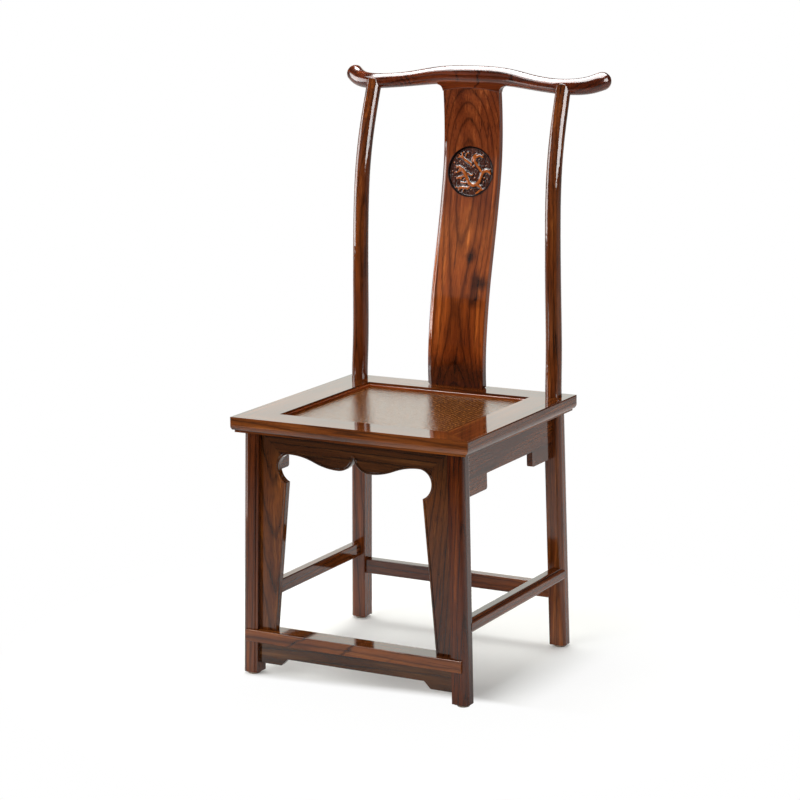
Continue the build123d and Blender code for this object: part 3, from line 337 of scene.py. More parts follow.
class CarvingSettings(bpy.types.PropertyGroup):
    """Sizes of the relief in the roundel."""

    fineness: FloatProperty(
        name="Fineness",
        description="Size of the smallest detail that the carving keeps",
        default=0.00055,
        min=0.0002,
        subtype="DISTANCE",
        unit="LENGTH",
    )
    flatness: FloatProperty(
        name="Flatness",
        description="Height of a stroke as a share of its half width",
        default=0.75,
        min=0.1,
        max=1,
        subtype="FACTOR",
    )
    foot_spread: FloatProperty(
        name="Foot spread",
        description="How far the low foot of a stroke reaches past it, in millimetres",
        default=1.7,
        min=0,
    )
    foot_squash: FloatProperty(
        name="Foot squash",
        description="Height of a stroke's foot as a share of its half width",
        default=0.2,
        min=0.05,
        max=1,
        subtype="FACTOR",
    )
    seat: FloatProperty(
        name="Seat",
        description="How deep the carving's foot stands in the ground, before it is flattened",
        default=0.0008,
        min=0,
        subtype="DISTANCE",
        unit="LENGTH",
    )
    # The carving is painted palest, as if lit, at this height
    full_rise: FloatProperty(
        name="Full rise",
        description="Height at which the carving has its palest tone",
        default=0.0032,
        min=0.0005,
        subtype="DISTANCE",
        unit="LENGTH",
    )
    reach: FloatProperty(
        name="Reach",
        description="How far before the splat its ground is looked for",
        default=0.03,
        min=0.01,
        subtype="DISTANCE",
        unit="LENGTH",
    )


class StageSettings(bpy.types.PropertyGroup):
    """Camera and light of the plain studio."""

    distance: FloatProperty(
        name="Camera distance",
        description="From the aim point to the camera",
        default=4.886,
        min=1,
        subtype="DISTANCE",
        unit="LENGTH",
    )
    azimuth: FloatProperty(
        name="Camera azimuth",
        description="How far the camera stands to the right of the front",
        default=math.radians(28.81),
        subtype="ANGLE",
        unit="ROTATION",
    )
    elevation: FloatProperty(
        name="Camera elevation",
        description="How far the camera looks down",
        default=math.radians(11.69),
        subtype="ANGLE",
        unit="ROTATION",
    )
    roll: FloatProperty(
        name="Camera roll",
        description="How far the picture is turned",
        default=math.radians(-0.7),
        subtype="ANGLE",
        unit="ROTATION",
    )
    aim: FloatVectorProperty(
        name="Aim point",
        description="What the middle of the picture shows",
        subtype="TRANSLATION",
        size=3,
        default=(-0.01115, -0.04665, 0.51251),
    )
    lens: FloatProperty(
        name="Focal length",
        description="Focal length on a 36 mm sensor",
        default=115.73,
        min=20,
        unit="CAMERA",
    )


def clear_selection():
    """Deselects everything, so that an operator acts on its own object alone."""
    bpy.ops.object.select_all(action="DESELECT")


def new_material(name):
    """A material with nothing in it yet, and its node tree."""
    material = bpy.data.materials.new(name)
    material.use_nodes = True
    material.node_tree.nodes.clear()
    return material, material.node_tree


def put(tree, kind, settings=None, **sockets):
    """Adds a node, with its settings, and its sockets set or joined."""
    node = tree.nodes.new(kind)
    for key, value in (settings or {}).items():
        setattr(node, key, value)
    for key, value in sockets.items():
        place = node.inputs[int(key[1:]) if key[0] == "_" else key.replace("_", " ")]
        if isinstance(value, bpy.types.NodeSocket):
            tree.links.new(value, place)
        else:
            place.default_value = value
    return node


def finish_tree(tree, shader, kind="ShaderNodeOutputMaterial"):
    """Joins a shader to the output of its material or world."""
    put(tree, kind, Surface=shader.outputs[0])


def object_place(tree):
    """Where a point lies on its own object, in metres."""
    return put(tree, "ShaderNodeTexCoord").outputs["Object"]


def maths(tree, operation, first, second=0.0, third=0.0):
    """One sum of a material."""
    return put(tree, "ShaderNodeMath", {"operation": operation}, _0=first, _1=second, _2=third).outputs[0]


def vector_maths(tree, operation, *values):
    """One sum of a material with vectors, which gives a number for a distance, a product or a length."""
    sockets = {f"_{index}": value for index, value in enumerate(values)}
    node = put(tree, "ShaderNodeVectorMath", {"operation": operation}, **sockets)
    return node.outputs["Value" if operation in ("DISTANCE", "DOT_PRODUCT", "LENGTH") else "Vector"]


def remap(tree, value, limits, low=0.0, high=1.0, smooth=False):
    """Goes from low to high while a value goes from the first limit to the second."""
    settings = {"interpolation_type": "SMOOTHSTEP" if smooth else "LINEAR"}
    sockets = {"_1": limits[0], "_2": limits[1], "_3": low, "_4": high}
    return put(tree, "ShaderNodeMapRange", settings, Value=value, **sockets).outputs[0]


def noise(tree, place, scale, detail, roughness=0.5, output="Fac"):
    """A cloudy pattern."""
    node = put(tree, "ShaderNodeTexNoise", Vector=place, Scale=scale, Detail=detail, Roughness=roughness)
    return node.outputs[output]


def stretch(tree, place, scale):
    """A place scaled along its three directions."""
    return put(tree, "ShaderNodeMapping", Vector=place, Scale=scale).outputs[0]


def dented(tree, height, strength, distance):
    """The surface's direction, bent by a pattern of heights."""
    return put(tree, "ShaderNodeBump", Height=height, Strength=strength, Distance=distance).outputs[0]


def blend_colours(tree, how, amount, first, second):
    """Two colours mixed by an amount."""
    node = put(tree, "ShaderNodeMix", {"data_type": "RGBA", "blend_type": how})
    for place, value in ((0, amount), (6, first), (7, second)):
        if isinstance(value, bpy.types.NodeSocket):
            tree.links.new(value, node.inputs[place])
        else:
            node.inputs[place].default_value = value
    return node.outputs[2]


def ramp(tree, factor, stops):
    """A colour ramp from its stops."""
    node = put(tree, "ShaderNodeValToRGB", Fac=factor)
    stripe = node.color_ramp
    while len(stripe.elements) < len(stops):
        stripe.elements.new(0.5)
    for element, (position, colour) in zip(stripe.elements, stops):
        element.position = position
        element.color = colour if len(colour) == 4 else (*colour, 1)
    return node.outputs["Color"]


def grey_ramp(tree, factor, stops):
    """A ramp from number to number."""
    return ramp(tree, factor, [(position, (value, value, value)) for position, value in stops])


def finish_node(name, material):
    """Gives one piece of the frame its finish."""
    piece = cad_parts[name]
    for slot in piece.material_slots:
        slot.material = material


def near_point(tree, place, point, reach, soft):
    """1 within reach of a point, falling to 0 at its edge."""
    away = vector_maths(tree, "DISTANCE", place, point)
    return remap(tree, away, (reach * (1 + soft), reach * (1 - soft)))


def multiply(tree, colour, by, amount=1.0):
    """A colour multiplied by another."""
    return blend_colours(tree, "MULTIPLY", amount, colour, by)


def darken(tree, colour, mask, amount):
    """A colour multiplied by a fixed one where a mask is 1."""
    return multiply(tree, colour, (*amount, 1), mask)


def grain_arcs(tree, wavy, stain_and_shading, arcs):
    """Dark nested arcs of the grain inside one round area."""
    middle, reach, centre, pitch, half_width = arcs
    drawn = vector_maths(tree, "MULTIPLY", wavy, ARC_STRETCH)
    centre = [part * share for part, share in zip(centre, ARC_STRETCH)]
    away = vector_maths(tree, "DISTANCE", drawn, centre)
    step = maths(tree, "PINGPONG", maths(tree, "DIVIDE", away, pitch), 0.5)
    line = remap(tree, step, (half_width / pitch * 1.5, 0.0))
    mask = maths(tree, "MULTIPLY", line, near_point(tree, wavy, middle, reach, ARC_SOFTNESS))
    return darken(tree, stain_and_shading, mask, ARC_STAIN)


def bead_foot_shade(tree, place, stain_and_shading):
    """Painted shade: a dark line at the foot of the bead, found by how far it stands before the front apron's
    face.
    """
    rise = vector_maths(tree, "DOT_PRODUCT", place, APRON_FACING)
    rise = maths(tree, "SUBTRACT", rise, APRON_FACING.dot(APRON_HEAD))
    # Painted shade along the bead's foot, where its flank meets the board
    line = maths(tree, "MULTIPLY", remap(tree, rise, BEAD_FOOT), remap(tree, rise, BEAD_CROWN))
    return darken(tree, stain_and_shading, line, BEAD_FOOT_SHADE)


def apron_head(tree, place, tone, stain_and_shading):
    """The boards of the front apron, painted as dark as its top board near the seat frame, which is painted shade
    under the seat frame.
    """
    *_, head = WOOD_CUTS["front_apron_top"]
    height = put(tree, "ShaderNodeSeparateXYZ", Vector=place).outputs["Z"]
    near = remap(tree, height, UNDER_SEAT_SHADE_HEIGHTS)
    return darken(tree, stain_and_shading, near, tuple(part / own for part, own in zip(head, tone)))


def splat_marks(tree, place, wavy, stain_and_shading):
    """The knots, the dark foot, a painted sheen about the middle, a ring of painted shade at the sunk field's
    edge and the dark sunk field of the splat.
    """
    for point, reach in SPLAT_KNOTS:
        stain_and_shading = darken(tree, stain_and_shading, near_point(tree, wavy, point, reach, KNOT_SOFTNESS), KNOT_STAIN)
    height = put(tree, "ShaderNodeSeparateXYZ", Vector=wavy).outputs["Z"]
    # Colour by height: darker at the foot, and a painted sheen, lighter, greener and bluer, about the middle
    stain_and_shading = multiply(tree, stain_and_shading, ramp(tree, height, SPLAT_HEIGHT_TONE_AND_SHEEN))
    # A ring of painted shade along the edge of the sunk field
    ring = roundel_disc(tree, place, ROUNDEL_RADIUS * FIELD_EDGE_SHADE_SHARE)
    field = roundel_disc(tree, place, ROUNDEL_RADIUS * FIELD_SHARE)
    stain_and_shading = darken(tree, stain_and_shading, maths(tree, "SUBTRACT", ring, field), FIELD_EDGE_SHADE)
    return darken(tree, stain_and_shading, field, FIELD_STAIN)


def roundel_disc(tree, place, radius):
    """1 on the front of the splat within a radius of the roundel's middle."""
    disc = near_point(tree, place, ROUNDEL_MIDDLE, radius, 0.01)
    depth = vector_maths(tree, "DOT_PRODUCT", place, ROUNDEL_FACING)
    depth = maths(tree, "SUBTRACT", depth, ROUNDEL_FACING.dot(ROUNDEL_MIDDLE))
    return maths(tree, "MULTIPLY", disc, maths(tree, "GREATER_THAN", depth, -ROUNDEL_DEPTH))


def splat_glaze(tree, place):
    """The splat's lacquer, which turns away at the lower left edge and is uneven in the sunk field."""
    across, _, up = put(tree, "ShaderNodeSeparateXYZ", Vector=place).outputs
    rise = remap(tree, up, SPLAT_EDGE_FADE, SPLAT_EDGE_RISE, 0.0, smooth=True)
    edge = remap(tree, across, SPLAT_EDGE, 0.0, rise, smooth=True)
    uneven = noise(tree, place, 330.0, 1.0)
    field = roundel_disc(tree, place, ROUNDEL_RADIUS * FIELD_SHARE)
    height = maths(tree, "MULTIPLY_ADD", maths(tree, "MULTIPLY", uneven, field), SPLAT_FIELD_RISE, edge)
    return dented(tree, height, 1.0, 1.0)


def wood_material(piece, cut, settings):
    """Lacquered wood cut from a round log: rings about the grain, streaks and pores along it."""
    along, (across, back, up), lean, tone = cut
    material, tree = new_material("wood_" + piece)
    place = object_place(tree)
    turn = [GRAIN_TURN[along][axis] + (*lean, 0)[axis] for axis in range(3)]
    pith = (across, back - LOGS_FORWARD, up)
    turned = {"Vector": place, "Location": pith, "Rotation": turn}
    log = put(tree, "ShaderNodeMapping", {"vector_type": "TEXTURE"}, **turned).outputs[0]

    slow = stretch(tree, log, SLOW_FIGURE)
    sway = vector_maths(tree, "SUBTRACT", noise(tree, slow, 1.0, 2.0, output="Color"), MID_NOISE)
    rings = put(
        tree,
        "ShaderNodeTexWave",
        {"wave_type": "RINGS", "rings_direction": "Z", "wave_profile": "SAW"},
        Vector=vector_maths(tree, "MULTIPLY_ADD", sway, RING_SWAY, log),
        Scale=math.pi / 10 / settings.ring_width,
        Distortion=1.2,
        Detail=3.0,
        Detail_Scale=0.6,
        Detail_Roughness=0.6,
    ).outputs["Fac"]
    drawn = stretch(tree, log, STREAK_DRAW)
    streaks = noise(tree, drawn, 95.0, 6.0, 0.62)
    fibres = noise(tree, drawn, 620.0, 3.0, 0.6)
    patches = noise(tree, slow, 1.7, 3.0, 0.55)

    shades = (settings.pale, settings.body, settings.dark)
    pale, body, dark = (tuple(part * share for part, share in zip(colour, tone)) for colour in shades)
    stain_and_shading = ramp(tree, streaks, [(0.30, dark), (0.42, body), (0.56, body), (0.68, pale)])
    lines = [(0.0, 0.42), (0.10, 0.85), (0.45, 1.12), (0.80, 0.9), (0.95, 0.38)]
    stain_and_shading = multiply(tree, stain_and_shading, grey_ramp(tree, rings, lines), 0.85)
    tints = [(0.32, (0.55, 0.47, 0.42)), (0.5, (1, 1, 1)), (0.68, (1.45, 1.6, 1.6))]
    stain_and_shading = multiply(tree, stain_and_shading, ramp(tree, patches, tints))
    stain_and_shading = multiply(tree, stain_and_shading, grey_ramp(tree, fibres, [(0.30, 0.5), (0.46, 0.95), (0.7, 1.2)]))

    ripple = noise(tree, stretch(tree, log, QUICK_FIGURE), 1.0, 3.0, output="Color")
    shake = vector_maths(tree, "SUBTRACT", ripple, MID_NOISE)
    if piece == "splat":
        stain_and_shading = splat_marks(tree, place, vector_maths(tree, "MULTIPLY_ADD", shake, KNOT_SHAKE, place), stain_and_shading)
    # Painted shade under the seat frame and along the bead's foot
    if piece.startswith("front_apron"):
        stain_and_shading = bead_foot_shade(tree, place, apron_head(tree, place, tone, stain_and_shading))
    for arcs in GRAIN_ARCS.get(piece, []):
        stain_and_shading = grain_arcs(tree, vector_maths(tree, "MULTIPLY_ADD", shake, ARC_SHAKE, place), stain_and_shading, arcs)

    height = maths(tree, "MULTIPLY_ADD", fibres, 0.6, maths(tree, "MULTIPLY", rings, 0.4))
    surface = put(
        tree,
        "ShaderNodeBsdfPrincipled",
        Base_Color=stain_and_shading,
        Roughness=maths(tree, "MULTIPLY_ADD", fibres, -0.12, 0.5),
        Specular_IOR_Level=0.0,
        Normal=dented(tree, height, 0.12, 0.0002),
        Coat_Weight=1.0,
        Coat_Roughness=settings.gloss_roughness * (CREST_DULLNESS if piece == "crest_rail" else 1),
        Coat_IOR=1.5,
    )
    if piece == "splat":
        tree.links.new(splat_glaze(tree, place), surface.inputs["Coat Normal"])
    if piece in ROUND_PIECES:
        eased = put(tree, "ShaderNodeBevel", {"samples": 8}, Radius=ROUND_REACH).outputs[0]
        tree.links.new(eased, surface.inputs["Coat Normal"])
    finish_tree(tree, surface)
    return material


class CHAIR_OT_finish_wood(bpy.types.Operator):
    """Gives every wooden piece its own cut of lacquered wood"""

    bl_idname = "chair.finish_wood"
    bl_label = "Finish the wood"

    def execute(self, context):
        for piece, cut in WOOD_CUTS.items():
            finish_node(piece, wood_material(piece, cut, context.scene.chair_wood))
        return {"FINISHED"}


def room_beside_strokes(across, rise):
    """How far a point lies outside the nearest stroke, in millimetres."""
    room = math.inf
    for points in ROUNDEL_STROKES.values():
        for (start_x, start_y, start_half), (end_x, end_y, end_half) in zip(points, points[1:]):
            run, climb = end_x - start_x, end_y - start_y
            along = ((across - start_x) * run + (rise - start_y) * climb) / (run * run + climb * climb)
            along = max(0, min(1, along))
            away = math.hypot(across - start_x - along * run, rise - start_y - along * climb)
            room = min(room, away - (start_half + along * (end_half - start_half)))
    return room


def scatter_clouds():
    """The low clouds between the strokes as (across, up, radius), the same ones in each run."""
    draw = random.Random(CLOUD_SEED)
    clouds = []
    for _ in range(CLOUD_TRIES):
        away = CLOUD_REACH * math.sqrt(draw.random())
        turn = draw.random() * 2 * math.pi
        across, rise = away * math.cos(turn), away * math.sin(turn)
        radius = draw.uniform(*CLOUD_RADII)
        if room_beside_strokes(across, rise) < radius * CLOUD_ROOM_SHARE:
            continue
        if any(math.hypot(across - x, rise - y) < radius + other + CLOUD_GAP for x, y, other in clouds):
            continue
        clouds.append((round(across, 1), round(rise, 1), round(radius, 1)))
        if len(clouds) == CLOUD_COUNT:
            break
    return clouds


def carve_stroke(name, points, spread=0.0, squash=1.0):
    """One stroke of the carving, or its wide low foot: a path with a round section, fine at its ends."""
    clear_selection()
    bpy.ops.curve.primitive_nurbs_path_add()
    path = bpy.context.object
    path.name = name
    path.data.bevel_depth = MILLIMETRE
    path.data.bevel_resolution = 3
    path.data.resolution_u = 8
    path.data.use_fill_caps = True
    line = path.data.splines[0]
    spare = len(points) - len(line.points)
    if spare > 0:
        line.points.add(spare)
    else:
        points = points + [points[-1]] * -spare
    for knot, (across, rise, half_width) in zip(line.points, points):
        knot.co = (across * MILLIMETRE, rise * MILLIMETRE, 0, 1)
        knot.radius = half_width + spread
    line.order_u = 3
    line.use_endpoint_u = True
    bpy.ops.object.convert(target="MESH")
    bpy.context.object.scale.z = squash
    bpy.ops.object.transform_apply()
    return bpy.context.object


def carve_dot(across, rise, radius):
    """One round bump of the carving."""
    clear_selection()
    place = (across * MILLIMETRE, rise * MILLIMETRE, 0)
    size = radius * MILLIMETRE
    bpy.ops.mesh.primitive_uv_sphere_add(segments=16, ring_count=8, radius=size, location=place)
    bpy.ops.object.transform_apply()
    return bpy.context.object


def carve_rim(radius, half_width):
    """The thin raised ring at the edge of the sunk field."""
    clear_selection()
    bpy.ops.mesh.primitive_torus_add(
        major_radius=radius * MILLIMETRE,
        minor_radius=half_width * MILLIMETRE,
        major_segments=ROUND_SIDES,
        minor_segments=12,
    )
    return bpy.context.object


class CHAIR_OT_carve_roundel(bpy.types.Operator):
    """Carves the coiled dragon in the round sunk field of the splat"""

    bl_idname = "chair.carve_roundel"
    bl_label = "Carve the roundel"

    def execute(self, context):
        settings = context.scene.chair_carving
        pieces = [carve_stroke(name, points) for name, points in ROUNDEL_STROKES.items()]
        for name, points in ROUNDEL_STROKES.items():
            pieces.append(carve_stroke(name + "_foot", points, settings.foot_spread, settings.foot_squash))
        pieces += [carve_dot(*dot) for dot in ROUNDEL_DOTS + scatter_clouds()]
        pieces.append(carve_rim(*ROUNDEL_RIM))
        clear_selection()
        for piece in pieces:
            piece.select_set(True)
        context.view_layer.objects.active = pieces[0]
        bpy.ops.object.join()
        relief = context.object
        relief.name = "roundel_relief"
        for kind, values in (
            ("REMESH", {"mode": "VOXEL", "voxel_size": settings.fineness}),
            ("SMOOTH", {"factor": 0.5, "iterations": 2}),
        ):
            modifier = relief.modifiers.new(kind, kind)
            for key, value in values.items():
                setattr(modifier, key, value)
            bpy.ops.object.modifier_apply(modifier=modifier.name)
        bpy.ops.object.mode_set(mode="EDIT")
        bpy.ops.mesh.select_all(action="SELECT")
        foot = (0, 0, -settings.seat)
        bpy.ops.mesh.bisect(plane_co=foot, plane_no=(0, 0, 1), use_fill=True, clear_inner=True)
        bpy.ops.mesh.select_all(action="SELECT")
        bpy.ops.mesh.normals_make_consistent(inside=False)
        bpy.ops.object.mode_set(mode="OBJECT")

        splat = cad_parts["splat"]
        facing = ROUNDEL_FACING.normalized()
        across = Vector((1, 0, 0))
        upward = facing.cross(across)
        rises = []
        for vertex in relief.data.vertices:
            u, v, w = vertex.co
            spot = ROUNDEL_MIDDLE + across * u + upward * v
            hit, ground, _, _ = splat.ray_cast(spot + facing * settings.reach, -facing)
            if not hit:
                raise RuntimeError("the carving reaches past the splat")
            rises.append(max(w, 0) * settings.flatness)
            vertex.co = ground + facing * w * settings.flatness
        tops = [vertex.normal.dot(facing) for vertex in relief.data.vertices]
        for name, values in (("rise", [rise / settings.full_rise for rise in rises]), ("top", tops)):
            relief.data.attributes.new(name, "FLOAT", "POINT").data.foreach_set("value", values)
        clear_selection()
        relief.select_set(True)
        context.view_layer.objects.active = relief
        bpy.ops.object.shade_smooth()
        relief.data.materials.clear()
        relief.data.materials.append(relief_material(context.scene.chair_wood))
        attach(relief, "root")
        return {"FINISHED"}


def relief_material(settings):
    """Lacquered carving, painted dark low in its hollows and on the sides that face away from the front, which is
    painted shade, and palest on its high front-facing tops, which is painted light.
    """
    material, tree = new_material("carved_wood")
    rise = put(tree, "ShaderNodeAttribute", {"attribute_name": "rise"}).outputs["Fac"]
    top = put(tree, "ShaderNodeAttribute", {"attribute_name": "top"}).outputs["Fac"]
    # Painted light and shade: high, front-facing parts get a higher value, low and sideways-facing ones a lower
    # one
    lit = maths(tree, "MULTIPLY", remap(tree, rise, (0.20, 0.42), 0.55, 1.0), top)
    place = object_place(tree)
    lit = maths(tree, "ADD", lit, maths(tree, "MULTIPLY_ADD", noise(tree, place, 330.0, 2.0), 0.4, -0.2))
    fibres = noise(tree, stretch(tree, place, (1, 1, 0.06)), 420.0, 4.0)
    # Painted shade in the hollows and on the sides, the body colour between, and painted light in amber on the
    # tops
    painted_shade = tuple(part * 0.3 for part in settings.dark)
    amber = tuple(part * share for part, share in zip(settings.pale, (1.15, 1.15, 0.7)))
    stain_and_shading = ramp(tree, lit, [(0.66, painted_shade), (0.82, tuple(settings.body)), (0.96, amber)])
    stain_and_shading = multiply(tree, stain_and_shading, grey_ramp(tree, fibres, [(0.3, 0.6), (0.5, 1.0), (0.7, 1.2)]))
    surface = put(
        tree,
        "ShaderNodeBsdfPrincipled",
        Base_Color=stain_and_shading,
        Roughness=maths(tree, "MULTIPLY_ADD", fibres, -0.1, 0.45),
        Specular_IOR_Level=0.0,
        Normal=dented(tree, fibres, 0.15, 0.0002),
        Coat_Weight=1.0,
        Coat_Roughness=0.06,
        Coat_IOR=1.55,
    )
    finish_tree(tree, surface)
    return material


def cane_material(settings):
    """Varnished cane in a diagonal twill: every strand goes over two and under two."""
    material, tree = new_material("cane")
    pitch = (1 / settings.strand,) * 3
    turned = {"Vector": object_place(tree), "Rotation": (0, 0, math.radians(45)), "Scale": pitch}
    weave = put(tree, "ShaderNodeMapping", **turned).outputs[0]
    over, under, _ = put(tree, "ShaderNodeSeparateXYZ", Vector=weave).outputs
    cell = maths(tree, "ADD", maths(tree, "FLOOR", over), maths(tree, "FLOOR", under))
    warp_on_top = maths(tree, "LESS_THAN", maths(tree, "FLOORED_MODULO", cell, 4.0), 2.0)
    warp = maths(tree, "PINGPONG", over, 0.5)
    weft = maths(tree, "PINGPONG", under, 0.5)
    crown = put(tree, "ShaderNodeMix", {"data_type": "FLOAT"}, _0=warp_on_top, _2=weft, _3=warp).outputs[0]
    speckle = noise(tree, weave, 0.55, 4.0)
    # The strands that lie one way are painted pale, as lit, and those that lie the other way dark, as in shade
    strand = blend_colours(tree, "MIX", warp_on_top, (*settings.dark, 1), (*settings.pale, 1))
    # Painted shade where each strand dips under the next
    strand = multiply(tree, strand, grey_ramp(tree, crown, [(0.0, 0.25), (0.18, 0.8), (0.5, 1.05)]))
    tones = [(0.32, (0.40, 0.36, 0.32)), (0.5, (1, 1, 1)), (0.66, (1.9, 1.8, 1.6))]
    strand = multiply(tree, strand, ramp(tree, speckle, tones))
    surface = put(
        tree,
        "ShaderNodeBsdfPrincipled",
        Base_Color=strand,
        Roughness=maths(tree, "MULTIPLY_ADD", speckle, 0.2, 0.3),
        Normal=dented(tree, crown, 0.35, 0.0006),
        Specular_IOR_Level=0.0,
        Coat_Weight=1.0,
        Coat_Roughness=0.12,
        Coat_Normal=dented(tree, maths(tree, "MULTIPLY_ADD", speckle, 2.5, crown), 0.28, 0.0006),
    )
    finish_tree(tree, surface)
    return material


class CHAIR_OT_finish_mat(bpy.types.Operator):
    """Gives the seat its fine diagonal weave of varnished cane"""

    bl_idname = "chair.finish_mat"
    bl_label = "Finish the cane mat"

    def execute(self, context):
        finish_node("seat_cane_mat", cane_material(context.scene.chair_cane))
        return {"FINISHED"}


def glide_material():
    """Scuffed pale plastic."""
    material, tree = new_material("glide")
    scuffs = noise(tree, object_place(tree), 420.0, 5.0)
    colours = [(0.3, (0.16, 0.115, 0.075)), (0.5, (0.30, 0.235, 0.165)), (0.7, (0.40, 0.33, 0.25))]
    surface = put(
        tree,
        "ShaderNodeBsdfPrincipled",
        Base_Color=ramp(tree, scuffs, colours),
        Roughness=maths(tree, "MULTIPLY_ADD", scuffs, 0.3, 0.35),
        Normal=dented(tree, scuffs, 0.2, 0.0003),
    )
    finish_tree(tree, surface)
    return material


def steel_material():
    """Brushed steel of the nails."""
    material, tree = new_material("nail_steel")
    scratches = noise(tree, object_place(tree), 900.0, 4.0)
    surface = put(
        tree,
        "ShaderNodeBsdfPrincipled",
        Base_Color=ramp(tree, scratches, [(0.3, (0.28, 0.27, 0.26)), (0.7, (0.55, 0.54, 0.52))]),
        Metallic=1.0,
        Roughness=maths(tree, "MULTIPLY_ADD", scratches, 0.3, 0.25),
    )
    finish_tree(tree, surface)
    return material


class CHAIR_OT_finish_glides(bpy.types.Operator):
    """Gives the glides under the legs and their nails their finish"""

    bl_idname = "chair.finish_glides"
    bl_label = "Finish the glides"

    def execute(self, context):
        glide = glide_material()
        for name in GLIDES:
            finish_node(name, glide)
        finish_node("glide_nails", steel_material())
        return {"FINISHED"}


def softbox(name, place, aim, width, depth, radiance, mirrored=True, lighting=True, colour=(1, 1, 1)):
    """A rectangular lamp that faces a point, with one brightness all over."""
    clear_selection()
    bpy.ops.object.light_add(type="AREA", location=place)
    lamp = bpy.context.object
    lamp.name = name
    lamp.data.shape = "RECTANGLE"
    lamp.data.size = width
    lamp.data.size_y = depth
    lamp.data.energy = radiance * math.pi * width * depth
    lamp.data.color = colour
    lamp.rotation_euler = (Vector(aim) - Vector(place)).to_track_quat("-Z", "Y").to_euler()
    lamp.visible_camera = False
    lamp.visible_glossy = mirrored
    lamp.visible_diffuse = lighting


def floor_material():
    """White paper that glows white for the camera away from the chair, which paints out the shadow there, keeps
    the shadow near the chair, and is dark at the front where the lacquer mirrors it.
    """
    material, tree = new_material("studio_floor")
    place = object_place(tree)
    rays = put(tree, "ShaderNodeLightPath")
    seen, mirrored = rays.outputs["Is Camera Ray"], rays.outputs["Is Glossy Ray"]
    far = maths(tree, "MULTIPLY", vector_maths(tree, "LENGTH", place), 0.1)
    away = grey_ramp(tree, far, [(0.024, 0.12), (0.032, 0.12), (0.05, 0.2), (0.08, 1)])
    paper = put(tree, "ShaderNodeBsdfDiffuse", Color=blend_colours(tree, "MIX", seen, PAPER_LIT, PAPER_SEEN))
    # For the camera a white glow is mixed into the paper past the shadow's edges and far off, which paints out
    # the shadow there
    white = put(tree, "ShaderNodeEmission", Color=WHITE, Strength=1.0)
    across, forward, _ = put(tree, "ShaderNodeSeparateXYZ", Vector=place).outputs
    line = maths(tree, "MULTIPLY_ADD", across, SHADOW_SLANT, forward)
    ahead = remap(tree, line, SHADOW_AHEAD, 0.0, WHITE_AHEAD)
    beside = remap(tree, across, SHADOW_BESIDE, 0.0, WHITE_BESIDE)
    clear = maths(tree, "MAXIMUM", maths(tree, "MAXIMUM", ahead, beside), away)
    clear = maths(tree, "MULTIPLY", clear, seen)
    card = put(tree, "ShaderNodeMixShader", _0=clear, _1=paper.outputs[0], _2=white.outputs[0])
    front = grey_ramp(tree, maths(tree, "MULTIPLY", forward, -0.1), [(0.04, 0), (0.20, 0.95)])
    black = put(tree, "ShaderNodeBsdfDiffuse", Color=NEAR_BLACK)
    dim = maths(tree, "MULTIPLY", front, mirrored)
    finish_tree(tree, put(tree, "ShaderNodeMixShader", _0=dim, _1=card.outputs[0], _2=black.outputs[0]))
    return material


def studio_world():
    """White where the camera sees it, weak where the lacquer mirrors it, and soft light for the rest."""
    world = bpy.data.worlds.new("studio")
    world.use_nodes = True
    tree = world.node_tree
    tree.nodes.clear()
    rays = put(tree, "ShaderNodeLightPath")
    air, mirror, white = (
        put(tree, "ShaderNodeBackground", Color=WHITE, Strength=strength).outputs[0]
        for strength in (AIR_STRENGTH, MIRRORED_AIR_STRENGTH, 1.0)
    )
    lit = put(tree, "ShaderNodeMixShader", _0=rays.outputs["Is Glossy Ray"], _1=air, _2=mirror)
    sky = put(tree, "ShaderNodeMixShader", _0=rays.outputs["Is Camera Ray"], _1=lit.outputs[0], _2=white)
    finish_tree(tree, sky, "ShaderNodeOutputWorld")
    return world


def add_camera(settings):
    """The camera, turned about the aim point and rolled about its own axis."""
    azimuth, elevation, roll = settings.azimuth, settings.elevation, settings.roll
    level = math.cos(elevation)
    back = Vector((math.sin(azimuth) * level, -math.cos(azimuth) * level, math.sin(elevation)))
    right = Vector((math.cos(azimuth), math.sin(azimuth), 0))
    up = back.cross(right)
    rolled_right = right * math.cos(roll) + up * math.sin(roll)
    rolled_up = up * math.cos(roll) - right * math.sin(roll)
    clear_selection()
    bpy.ops.object.camera_add()
    camera = bpy.context.object
    camera.name = "studio_camera"
    turn = Matrix((rolled_right, rolled_up, back)).transposed()
    camera.matrix_world = Matrix.Translation(Vector(settings.aim) + back * settings.distance) @ turn.to_4x4()
    camera.data.lens = settings.lens
    camera.data.sensor_width = SENSOR_WIDTH
    camera.data.clip_end = FAR_CLIP
    return camera


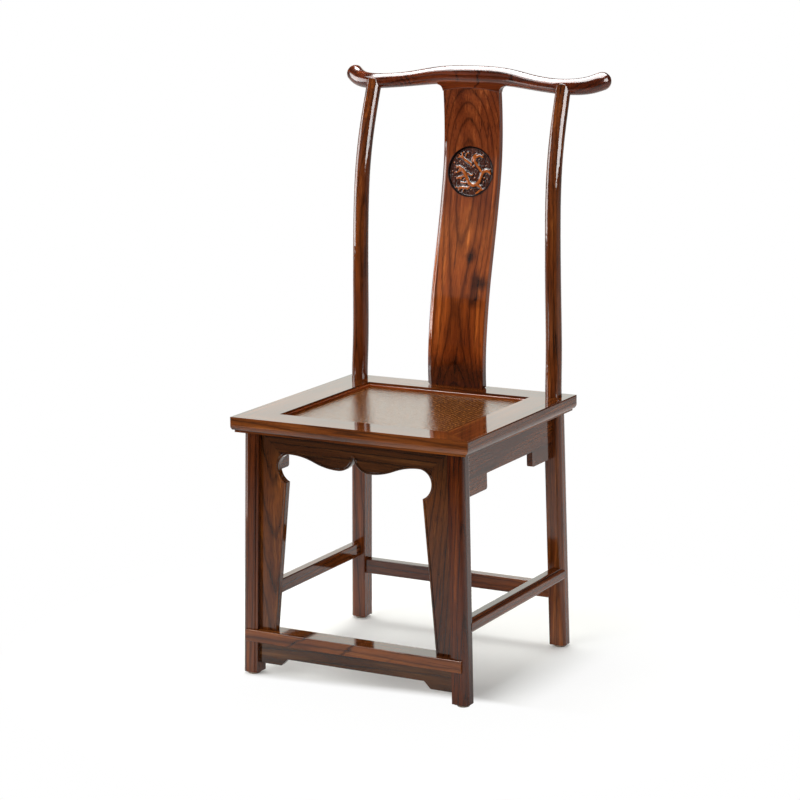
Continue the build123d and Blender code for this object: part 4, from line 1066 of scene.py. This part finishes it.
class CHAIR_OT_set_stage(bpy.types.Operator):
    """Adds the plain floor, the soft lamps and the camera"""

    bl_idname = "chair.set_stage"
    bl_label = "Set the stage"

    def execute(self, context):
        clear_selection()
        bpy.ops.mesh.primitive_circle_add(
            vertices=ROUND_SIDES, radius=FLOOR_RADIUS, fill_type="NGON", location=(0, 0, 0)
        )
        floor = context.object
        floor.name = "studio_floor"
        floor.data.materials.append(floor_material())
        context.scene.world = studio_world()
        for name, (place, aim, width, depth, radiance, options) in LAMPS.items():
            softbox(name, place, aim, width, depth, radiance, **options)
        context.scene.camera = add_camera(context.scene.chair_stage)
        context.scene.view_settings.view_transform = "Standard"
        return {"FINISHED"}


class CHAIR_PT_finishes(bpy.types.Panel):
    """Lists the steps that dress the chair, and their sizes and colours"""

    bl_idname = "CHAIR_PT_finishes"
    bl_label = "Yoke-back side chair"
    bl_space_type = "VIEW_3D"
    bl_region_type = "UI"
    bl_category = "Chair"

    def draw(self, context):
        for operator in OPERATORS:
            self.layout.operator(operator.bl_idname)
        for group in ("chair_wood", "chair_carving", "chair_cane", "chair_stage"):
            settings = getattr(context.scene, group)
            column = self.layout.column()
            for name in settings.__annotations__:
                column.prop(settings, name)


OPERATORS = (
    CHAIR_OT_finish_wood,
    CHAIR_OT_carve_roundel,
    CHAIR_OT_finish_mat,
    CHAIR_OT_finish_glides,
    CHAIR_OT_set_stage,
)
CLASSES = (WoodSettings, CaneSettings, CarvingSettings, StageSettings, *OPERATORS, CHAIR_PT_finishes)


def register():
    for cls in CLASSES:
        bpy.utils.register_class(cls)
    bpy.types.Scene.chair_wood = PointerProperty(type=WoodSettings)
    bpy.types.Scene.chair_cane = PointerProperty(type=CaneSettings)
    bpy.types.Scene.chair_carving = PointerProperty(type=CarvingSettings)
    bpy.types.Scene.chair_stage = PointerProperty(type=StageSettings)


def unregister():
    del bpy.types.Scene.chair_stage
    del bpy.types.Scene.chair_carving
    del bpy.types.Scene.chair_cane
    del bpy.types.Scene.chair_wood
    for cls in reversed(CLASSES):
        bpy.utils.unregister_class(cls)


def main():
    """Dresses the frame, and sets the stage."""
    register()
    bpy.ops.chair.finish_wood()
    bpy.ops.chair.carve_roundel()
    bpy.ops.chair.finish_mat()
    bpy.ops.chair.finish_glides()
    bpy.ops.chair.set_stage()


if __name__ == "__main__":
    main()
